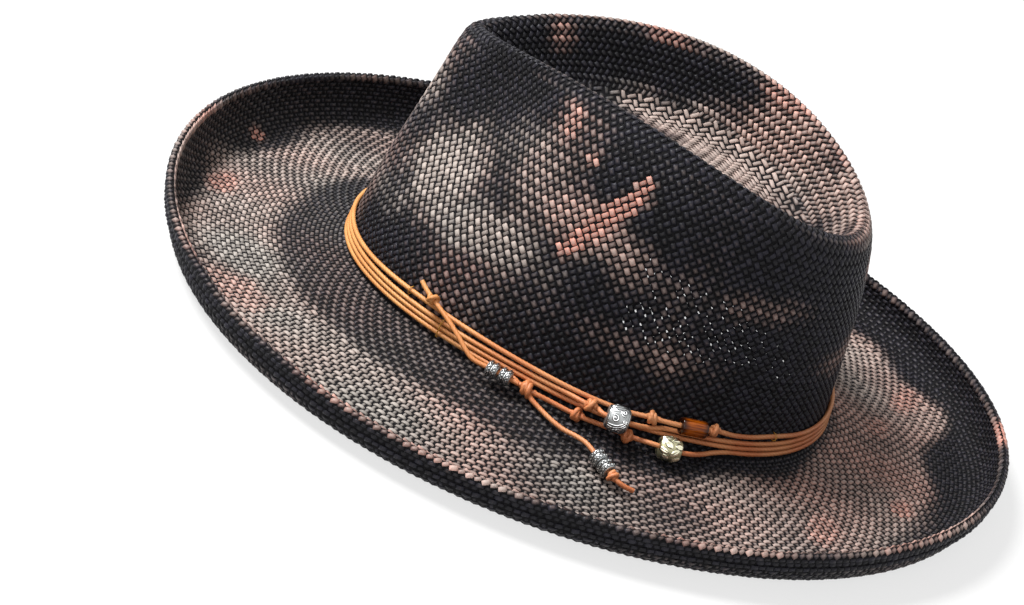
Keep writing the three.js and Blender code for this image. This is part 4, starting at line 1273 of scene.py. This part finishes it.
# the lower straws keep a smaller share of the fade: less rubbed, and partly painted shade
OUT_OVER = (1.12, 0.46, 0.78, 0.62)
foot_to_edge = np.linspace(11.6, 0, 240)
brim_profiles = whole_profiles(AROUND, foot_to_edge)
brim_lengths = np.array([along_line(line) for line in brim_profiles])
row_shares = (np.arange(BRIM_ROWS) + 0.5) / BRIM_ROWS
brim_rows = np.array([np.interp(row_shares * lengths[-1], lengths, foot_to_edge) for lengths in brim_lengths])
depth = brim_lengths[:, -1].mean() / BRIM_ROWS
tops, unders = [], []
for row in range(BRIM_ROWS):
    places = brim_rows[:, row]
    line, _, _ = surface(AROUND, places)
    run = along_line(line)
    count = STRAW_COUNTS[min(row * 3 // BRIM_ROWS, 2)]
    pitch = run[-1] / count
    t = np.interp((np.arange(count) + 0.25) * pitch, run, AROUND)
    point, normal, heading = on_row(places, t)
    inward = np.cross(normal, heading)
    round_over = (np.arange(count) + row) % 2 == 0
    fade, hue = brim_fade(point, t, np.full(count, row_shares[row]))
    for side, found in ((1, tops), (-1, unders)):
        if side < 0 and row_shares[row] > 0.925:
            continue
        on_top = round_over if side > 0 else ~round_over
        long_by, wide_by, high_by, wear_and_shade_share = np.where(on_top[:, None], ROUND_OVER, OUT_OVER).T
        length, width = long_by * np.where(on_top, pitch, depth), wide_by * np.where(on_top, depth, pitch)
        worn = fade * wear_and_shade_share
        if side < 0:
            worn = 0.12 + 0.16 * smooth(-0.2, 1, slow_waves(point, 60, 21))
        along = np.where(on_top[:, None], heading, inward)
        found.append(straws(point, normal * side, along, length, width, worn, hue, high_by))
brim_top, brim_under = joined(tops), joined(unders)
weave_halves("brim_weave", brim_top, brim_top["point"][:, 1] < 0, PILLOW, 30)
weave_halves("brim_under_weave", brim_under, brim_under["point"][:, 1] < 0, LINING, 40)

# %% [markdown]
# The rim and hem. Over the wire, the straws show as one row of round pillows, with rows of
# flatter ones under them down to the cut edge of the hem.

# %% Rim straws
RIM_ROWS = (  # millimetres on from the edge, width, how faded
    (0.5, 3.4, 1.0), (3.1, 2.1, 0.62), (FOLD_LENGTH + 0.7, 1.9, 0.12), (FOLD_LENGTH + 2.8, 2.2, 0.05),
    (FOLD_LENGTH + 5.0, 2.0, 0.05))
RIM_PATCHES = (((-52, 172, 18), (14, 10, 9), 0.8, 0.85),)
RIM_PITCH = 3.1
rim_line, _ = folded(AROUND, RIM_ROWS[0][0])
rim_run = along_line(rim_line)
rim_count = 2 * int(rim_run[-1] / RIM_PITCH / 2)
rims = []
for row, (q, width, worn) in enumerate(RIM_ROWS):
    spots = (np.arange(rim_count) + 0.5 * (row % 2) + 0.25) % rim_count * rim_run[-1] / rim_count
    t = np.interp(spots, rim_run, AROUND)
    point, normal = folded(t, q)
    ahead, _ = folded(t + 0.003, q)
    big = np.arange(rim_count) % 2 == 0
    fade = worn * (0.8 + 0.35 * slow_waves(point, 60, 51)) * np.where(big, 1, 0.75)
    # painted shade: the rim on the wearer's right keeps only 0.3 of its fade, dark as its shaded inner curl
    fade = fade * (1 - 0.7 * smooth(-0.3, 0.4, -np.sin(t)))
    fade, hue = patched(point, RIM_PATCHES, fade, 0.35 + 0.2 * slow_waves(point, 45, 52))
    lean = np.cross(normal, ahead - point) * (0.45 if row < 2 else 0.1)
    rims.append(straws(point, normal, ahead - point + lean, RIM_PITCH * np.where(big, 1.0, 0.84),
                       width * np.where(big, 1.0, 0.8), fade, hue, np.where(big, 1.15, 0.95)))
weave("rim_weave", joined(rims), PILLOW, 53, uneven=0.08)

# %% [markdown]
# The crown's wall is a plain weave on the bias. Two sets of straws climb the wall, one
# leaning to the front and one to the back, and cross each other every 2.8 mm. The number
# of straws stays the same all the way up and over the ridge, so they crowd and stand
# steeper near the top, as cloth does on a block. At every corner the weave leaves a hole.

# %% Crown wall straws
BIAS_STRAWS = 140  # straws of each set round the crown
STEP = 2.78  # from one crossing to the next along a straw, mm
BIAS_END = 24.7  # the bias weave goes over the ridge and ends at the foot of the dent's side
FRONT_LEANING = (1.08, 0.84, 1.0, 1.0)  # length in steps, width in gaps, height, share of the fade
# the lower straws keep a smaller share of the fade: less rubbed, and partly painted shade
BACK_LEANING = (1.06, 0.7, 0.85, 0.62)
DENT_FROM = 20.3  # from here on a straw is faded as the dent is
RIDGE_PLACE = 21.0
wall_places = np.linspace(WALL_PLACES[0], BIAS_END, 260)
wall_lines = whole_profiles(AROUND, wall_places)
wall_lengths = np.array([along_line(line) for line in wall_lines])
outsides, insides = [], []
done, row = 0.012, 0  # share of the way up the wall and over the ridge
while done < 1:
    places = np.array([np.interp(done * lengths[-1], lengths, wall_places) for lengths in wall_lengths])
    line, _, _ = surface(AROUND, places)
    run = along_line(line)
    apart = run[-1] / BIAS_STRAWS
    climb = math.sqrt(STEP**2 - (apart / 2) ** 2)
    gap = apart * climb / STEP
    t = np.interp((np.arange(BIAS_STRAWS) + 0.5 * (row % 2)) * apart, run, AROUND)
    point, normal, heading = on_row(places, t)
    upright = np.cross(normal, unit(heading)) * climb
    sideways = unit(heading) * apart / 2
    fade, hue = crown_fade(point)
    inner_fade, inner_hue = dent_fade(point)
    over = place_on(places, t) > DENT_FROM
    fade, hue = np.where(over, inner_fade, fade), np.where(over, inner_hue, hue)
    # the far ridge, on the wearer's right, is lighter: partly rubbed and partly painted sheen; the one on the
    # wearer's left stays dark
    ridge_rub_and_sheen = 1 - smooth(0.5, 1.8, np.abs(place_on(places, t) - RIDGE_PLACE))
    far_side = smooth(0.4, 1.3, from_front(t)) * smooth(-0.4, 0.2, -np.sin(t))
    fade = 1 - (1 - fade) * (1 - 0.6 * ridge_rub_and_sheen * far_side)
    loose = window_at(t, point[:, 2]) & ~over
    rise = float(point[:, 2].mean()) - BREAK_HEIGHT
    for side, found in ((1, outsides), (-1, insides)):
        if side < 0 and 4 < rise < 28 and row < 20:
            continue
        leans_front = (row % 2 == 0) == (side > 0)
        long_by, wide_by, high_by, wear_and_shade_share = FRONT_LEANING if leans_front else BACK_LEANING
        climbing = upright - sideways if leans_front else upright + sideways
        worn = fade * wear_and_shade_share if side > 0 else 0.12 + 0.1 * slow_waves(point, 40, 61)
        found.append(straws(point, normal * side, climbing, long_by * STEP, wide_by * gap, worn, hue,
                            high_by * np.where(loose, 0.8, 1)))
    done += climb / wall_lengths[:, -1].mean()
    row += 1
print("crown wall has", row, "rows of crossings")
wall_out, wall_in = joined(outsides), joined(insides)
weave_halves("crown_weave", wall_out, wall_out["point"][:, 0] >= 0, PILLOW, 60)
weave("crown_lining_weave", wall_in, LINING, 63)

# %% [markdown]
# The top of the crown is woven first on a real hat, from the middle out, as a twill: each
# straw floats over two others, on both slants, which gives the zigzag look of herringbone.
# The twill covers the floor of the dent and meets the bias weave at the foot of its side.
# Its grid is laid from the middle of the dent along the surface, so it keeps its size.

# %% Twill straws of the top
TWILL_PITCH, TWILL_REACH = 2.3, 44  # from straw to straw in mm, and straws from the middle outwards
HALF_ROOT = math.sqrt(0.5)  # the twill's slants run at 45 degrees
floor_middle = np.array((0, CREST_SHIFT + DENT_SHIFT))
top_line = crest(AROUND)
bearing = np.unwrap(np.arctan2(top_line[:, 0] - floor_middle[0], -(top_line[:, 1] - floor_middle[1])))
bearing = bearing - bearing[0]
outward_places = np.linspace(LAST_PLACE, 20.2, 260)
dent_lines = whole_profiles(AROUND, outward_places)
dent_runs = np.array([along_line(line) for line in dent_lines])
RUN_STEP = 0.5
run_grid = np.arange(0, dent_runs[:, -1].max(), RUN_STEP)
place_grid = np.array([np.interp(run_grid, runs, outward_places) for runs in dent_runs])


def from_middle(u, v):
    """Angle and place of a spot that lies u and v millimetres from the middle of the dent."""
    angle = np.mod(np.arctan2(u, -v), FULL_TURN)
    t = np.interp(angle, bearing, AROUND)
    i = np.clip(t / AROUND[1], 0, len(AROUND) - 1.001)
    k = np.clip(np.hypot(u, v) / RUN_STEP, 0, len(run_grid) - 1.001)
    i0, k0 = i.astype(int), k.astype(int)
    low = mix(place_grid[i0, k0], place_grid[i0, k0 + 1], k - k0)
    high = mix(place_grid[i0 + 1, k0], place_grid[i0 + 1, k0 + 1], k - k0)
    return t, mix(low, high, i - i0)


def twill(side):
    """Both slants of twill on one side of the straw; the floats inside are one straw further on."""
    i, j = np.mgrid[-TWILL_REACH:TWILL_REACH, -TWILL_REACH:TWILL_REACH].reshape(2, -1)
    moved = 0.5 if side > 0 else 1.5
    tables = []
    for slant, starts in ((1, (i + j) % 4 == 0), (-1, (i + j) % 4 == 2)):
        a = i[starts] + (moved if slant < 0 else 0)
        b = j[starts] + (moved if slant > 0 else 0)
        u, v = (a - b) * TWILL_PITCH * HALF_ROOT, (a + b) * TWILL_PITCH * HALF_ROOT
        t, place = from_middle(u, v)
        t_ahead, place_ahead = from_middle(u - slant * HALF_ROOT * 0.6, v + HALF_ROOT * 0.6)
        kept = (place > BIAS_END - 0.1) & (np.hypot(u, v) > 0.5)
        point, normal, _ = surface(t[kept], place[kept])
        ahead, _, _ = surface(t_ahead[kept], place_ahead[kept])
        fade, hue = dent_fade(point) if side > 0 else (0.12 + 0.1 * slow_waves(point, 40, 72), 0.5)
        tables.append(straws(point, normal * side, ahead - point, TWILL_PITCH * 2.0, TWILL_PITCH * 0.86,
                             fade, hue, 0.86))
    return joined(tables)


weave("top_weave", twill(1), PILLOW, 71, uneven=0.05)
weave("top_lining_weave", twill(-1), LINING, 73)
for cell in (PILLOW, LINING):
    bpy.data.objects.remove(cell)


# %% [markdown]
# The sweatband is a strip of ribbed cotton, 32 mm high, folded up round a plastic reed at
# its lower edge and sewn to the crown. It is swept round the inside of the crown from one
# section. Cloth simulation would add little, because the band is sewn and held flat.

# %% Sweatband
SWEATBAND_HEIGHT, SHEET, REED_RADIUS = 32, 0.9, 0.8
RIB_PITCH = 0.9
FOLD_LEVEL = 5.2
FOLD_CORE = (REED_RADIUS + GAP) / math.cos(math.pi / 6)
FOLD_INSET = GAP + SHEET + FOLD_CORE


def ribbed_cotton():
    made, tree, _ = finish_named("ribbed_cotton_sweatband", Roughness=0.9, Sheen_Weight=0.25,
                                 Sheen_Roughness=0.5)
    spot = put(tree, "ShaderNodeUVMap", uv_map="cloth")
    parts = put(tree, "ShaderNodeSeparateXYZ", {0: spot}).outputs
    # the map is in millimetres, and the ribs run across the band
    phase = put(tree, "ShaderNodeMath", {0: parts[0], 1: FULL_TURN / RIB_PITCH}, operation="MULTIPLY")
    rib = put(tree, "ShaderNodeMath", {0: phase}, operation="SINE")
    fuzz = put(tree, "ShaderNodeTexNoise", {"Vector": spot, "Scale": 2.4, "Detail": 3})
    # painted shade: the grooves between the ribs are darker and the rib tops lighter
    level = put(tree, "ShaderNodeMapRange", {0: rib, 1: -1, 2: 1, 3: 0, 4: 0.8}, **EASED)
    cloth = put(tree, "ShaderNodeMix", {0: level, 6: "#0f0e11", 7: "#26242a"}, **COLOURS).outputs[2]
    share = put(tree, "ShaderNodeMapRange", {0: fuzz, 1: 0.45, 2: 0.8, 3: 0, 4: 0.5}, **EASED)
    colour = put(tree, "ShaderNodeMix", {0: share, 6: cloth, 7: "#34313a"}, **COLOURS).outputs[2]
    both = put(tree, "ShaderNodeMath", {0: fuzz, 1: 0.6, 2: rib}, operation="MULTIPLY_ADD")
    relief = put(tree, "ShaderNodeBump", {"Strength": 0.6, "Distance": 0.0002, "Height": both})
    return fed(made, Base_Color=colour, Normal=relief)


def inside_crown(t, level, inset):
    face = over_wall(t, head_oval(t)[:, 2] + level, -0.001)
    return face + unit(-face * (1, 1, 0)) * inset


def arc_section(radius, start, stop, count=9):
    a = np.radians(np.linspace(start, stop, count))
    return [(FOLD_LEVEL - radius * math.sin(v), FOLD_INSET + radius * math.cos(v)) for v in a]


leg, neck = FOLD_LEVEL + 3.2, FOLD_LEVEL + 4.5
top, waist = SWEATBAND_HEIGHT, 18
band_section = [
    (leg, GAP), *arc_section(FOLD_CORE + SHEET, 180, 0), (neck, GAP * 2 + SHEET * 2 + 0.2),
    (waist, GAP + SHEET + 0.75), (top - 0.2, GAP + SHEET + 0.3), (top, GAP + SHEET), (top, GAP + 0.5),
    (top - 0.2, GAP + 0.3), (waist, GAP + 0.45), (neck, GAP * 2 + SHEET + 0.2),
    *arc_section(FOLD_CORE, 0, 180), (leg, GAP + SHEET)]
BAND_STEPS = 220
band_angles = np.linspace(0, FULL_TURN, BAND_STEPS, endpoint=False)
band_rows = np.stack([inside_crown(band_angles, level, inset) for level, inset in band_section], 1)
m = len(band_section)
sweatband = solid("sweatband_sewn", band_rows.reshape(-1, 3), ring_faces(BAND_STEPS, m), ribbed_cotton())
around_mm = along_line(np.concatenate([band_rows[:, m // 2], band_rows[:1, m // 2]]))
cloth_map = sweatband.data.uv_layers.new(name="cloth")
section_run = along_line(np.array(band_section + band_section[:1]))
for face, polygon in enumerate(sweatband.data.polygons):
    i, j = divmod(face, m)
    for loop in polygon.loop_indices:
        vi, vj = divmod(sweatband.data.loops[loop].vertex_index, m)
        # the last face of each round ends on the first ring, a whole round on
        vi = BAND_STEPS if vi == 0 and i == BAND_STEPS - 1 else vi
        vj = m if vj == 0 and j == m - 1 else vj
        cloth_map.data[loop].uv = (around_mm[vi], section_run[vj])
belongs(sweatband, "hat", "sweatband", "sweatband")
print("sweatband has", len(sweatband.data.polygons), "faces")


# %% Sweatband stitches
def stitch_tree():
    tree, given, out = tree_with("stitch_row", [
        ("Stitch", "NodeSocketObject"), ("Spacing", "NodeSocketFloat"), ("Material", "NodeSocketMaterial")])
    path = put(tree, "GeometryNodeMeshToCurve", {0: given["Geometry"]})
    even = put(tree, "GeometryNodeResampleCurve", {0: path, 3: given["Spacing"]}, mode="LENGTH")
    facing = put(tree, "GeometryNodeInputTangent")
    turned = put(tree, "FunctionNodeAxesToRotation", {0: facing, 1: (0, 0, 1)},
                 primary_axis="X", secondary_axis="Z")
    stitch = put(tree, "GeometryNodeObjectInfo", {0: given["Stitch"]})
    copies = put(tree, "GeometryNodeInstanceOnPoints", {0: even, 2: stitch.outputs["Geometry"],
                                                        5: turned})
    real = put(tree, "GeometryNodeRealizeInstances", {0: copies})
    done = put(tree, "GeometryNodeSetMaterial", {0: real, 2: given["Material"]})
    tree.links.new(done.outputs[0], out[0])
    return tree


def cotton_thread():
    made, tree, _ = finish_named("twisted_black_cotton_thread", Roughness=0.7)
    place = put(tree, "ShaderNodeTexCoord").outputs["Object"]
    grain = put(tree, "ShaderNodeTexNoise", {"Vector": place, "Scale": 900, "Detail": 2})
    share = put(tree, "ShaderNodeMapRange", {0: grain, 1: 0.4, 2: 0.6, 3: 0, 4: 1}, **EASED)
    colour = put(tree, "ShaderNodeMix", {0: share, 6: "#3a363d", 7: "#5c5660"}, **COLOURS).outputs[2]
    return fed(made, Base_Color=colour)


STITCH = ((-1.1, 0.06), (-0.7, 0.2), (0.7, 0.2), (1.1, 0.06))  # mm along and radius
STITCH_SIDES, STITCH_SPACING, PATH_STEPS = 6, 3.2, 240
stitch_points = [(x, r * math.cos(a), r * math.sin(a)) for x, r in STITCH
                 for a in np.linspace(0, FULL_TURN, STITCH_SIDES, endpoint=False)]
stitch_faces = ring_faces(len(STITCH), STITCH_SIDES, closed=False)
stitch_shape = solid("stitch_shape", stitch_points, stitch_faces, soft=False)
path_angles = np.linspace(0, FULL_TURN, PATH_STEPS, endpoint=False)
stitch_line = inside_crown(path_angles, neck + 0.6, GAP * 2 + SHEET * 2 + 0.3)
stitch_seed = plain_object("stitch_path", stitch_line, [(i, (i + 1) % PATH_STEPS) for i in range(PATH_STEPS)])
stitches = grown("sweatband_stitches", stitch_seed, stitch_tree(), {
    "Stitch": stitch_shape, "Spacing": STITCH_SPACING * MM, "Material": cotton_thread()})
bpy.data.objects.remove(stitch_shape)
belongs(stitches, "hat", "sweatband")
print("stitches have", len(stitches.data.polygons), "faces")


# %% [markdown]
# The wire in the rim and the reed in the sweatband are plain drawn and extruded shapes, and
# the CAD gives them exactly. They keep their meshes and take a finish.

# %% Wire and reed finishes
def on_node(node, finish):
    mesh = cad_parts[node].data
    mesh.materials.clear()
    mesh.materials.append(finish)


def streaked(name, light, dark, **sockets):
    made, tree, _ = finish_named(name, **sockets)
    place = put(tree, "ShaderNodeTexCoord").outputs["Object"]
    grain = put(tree, "ShaderNodeTexNoise", {"Vector": place, "Scale": 700, "Detail": 2})
    colour = put(tree, "ShaderNodeMix", {0: grain, 6: dark, 7: light}, **COLOURS).outputs[2]
    return fed(made, Base_Color=colour)


steel = streaked("drawn_steel_wire", "#a2a4a6", "#7b7d80", Metallic=1, Roughness=0.35)
plastic = streaked("extruded_polypropylene_reed", "#dedcd4", "#cfcdc4", Roughness=0.4, IOR=1.49)
on_node("brim_wire", steel)
on_node("sweatband_reed", plastic)
print("finishes set on the wire and the reed")

# %% [markdown]
# Light and floor. A large soft lamp stands over the hat, a weaker one fills from the
# camera's side, and an even pale world lights the rest. The floor is a pale sheet that
# shows white and keeps the hat's shadow, because only part of it glows.

# %% Stage
WHITE = (1, 1, 1, 1)
FLOOR_GLOW, EVEN_LIGHT = 0.72, 0.36
FLOOR_REACH, FLOOR_LEVEL = 6000, -0.1  # mm


def seen_share(tree):
    """1 where the eye sees a thing straight, mirrored or through glass, and 0 where it only lights."""
    rays = put(tree, "ShaderNodeLightPath").outputs
    seen = put(tree, "ShaderNodeMath", {0: rays["Is Camera Ray"], 1: rays["Is Glossy Ray"]}, operation="ADD")
    return put(tree, "ShaderNodeMath", {0: seen, 1: rays["Is Transmission Ray"]}, operation="ADD",
               use_clamp=True)


def stage_floor():
    made, tree, shader = finish_named("matt_paper_floor", Roughness=0.9, Base_Color=linear("#f1f1f0"))
    part = put(tree, "ShaderNodeMath", {0: seen_share(tree), 1: FLOOR_GLOW}, operation="MULTIPLY")
    glow = put(tree, "ShaderNodeEmission", {"Color": WHITE, "Strength": 1.0})
    both = put(tree, "ShaderNodeMixShader", {0: part, 1: shader, 2: glow})
    tree.links.new(both.outputs[0], tree.nodes["Material Output"].inputs["Surface"])
    return made


floor_corners = [(x * FLOOR_REACH, y * FLOOR_REACH, FLOOR_LEVEL)
                 for x, y in ((-1, -1), (1, -1), (1, 1), (-1, 1))]
floor = plain_object("paper_floor", floor_corners, (), [(0, 1, 2, 3)])
floor.data.materials.append(stage_floor())

world = bpy.data.worlds.new("studio_air")
bpy.context.scene.world = world
world.use_nodes = True
air = world.node_tree
even_light = air.nodes["Background"]
even_light.inputs["Color"].default_value = WHITE
even_light.inputs["Strength"].default_value = EVEN_LIGHT
white = put(air, "ShaderNodeBackground", {"Color": WHITE, "Strength": 1.0})
both = put(air, "ShaderNodeMixShader", {0: seen_share(air), 1: even_light, 2: white})
air.links.new(both.outputs[0], air.nodes["World Output"].inputs["Surface"])


def soft_lamp(name, place, target, size, watts):
    light = bpy.data.lights.new(name, "AREA")
    light.shape = "DISK"
    light.size = size
    light.energy = watts
    lamp = bpy.data.objects.new(name, light)
    heading = (Vector(target) - Vector(place)).to_track_quat("-Z", "Y").to_matrix().to_4x4()
    lamp.matrix_world = Matrix.Translation(place) @ heading
    bpy.context.scene.collection.objects.link(lamp)


soft_lamp("key_lamp", (0.15, -1.3, 1.9), (0, 0, 0.05), 1.0, 92)
soft_lamp("fill_lamp", (1.9, 0.2, 1.2), (0, 0, 0.05), 1.2, 9)
bpy.context.scene.view_settings.view_transform = "Standard"
print("stage is set")
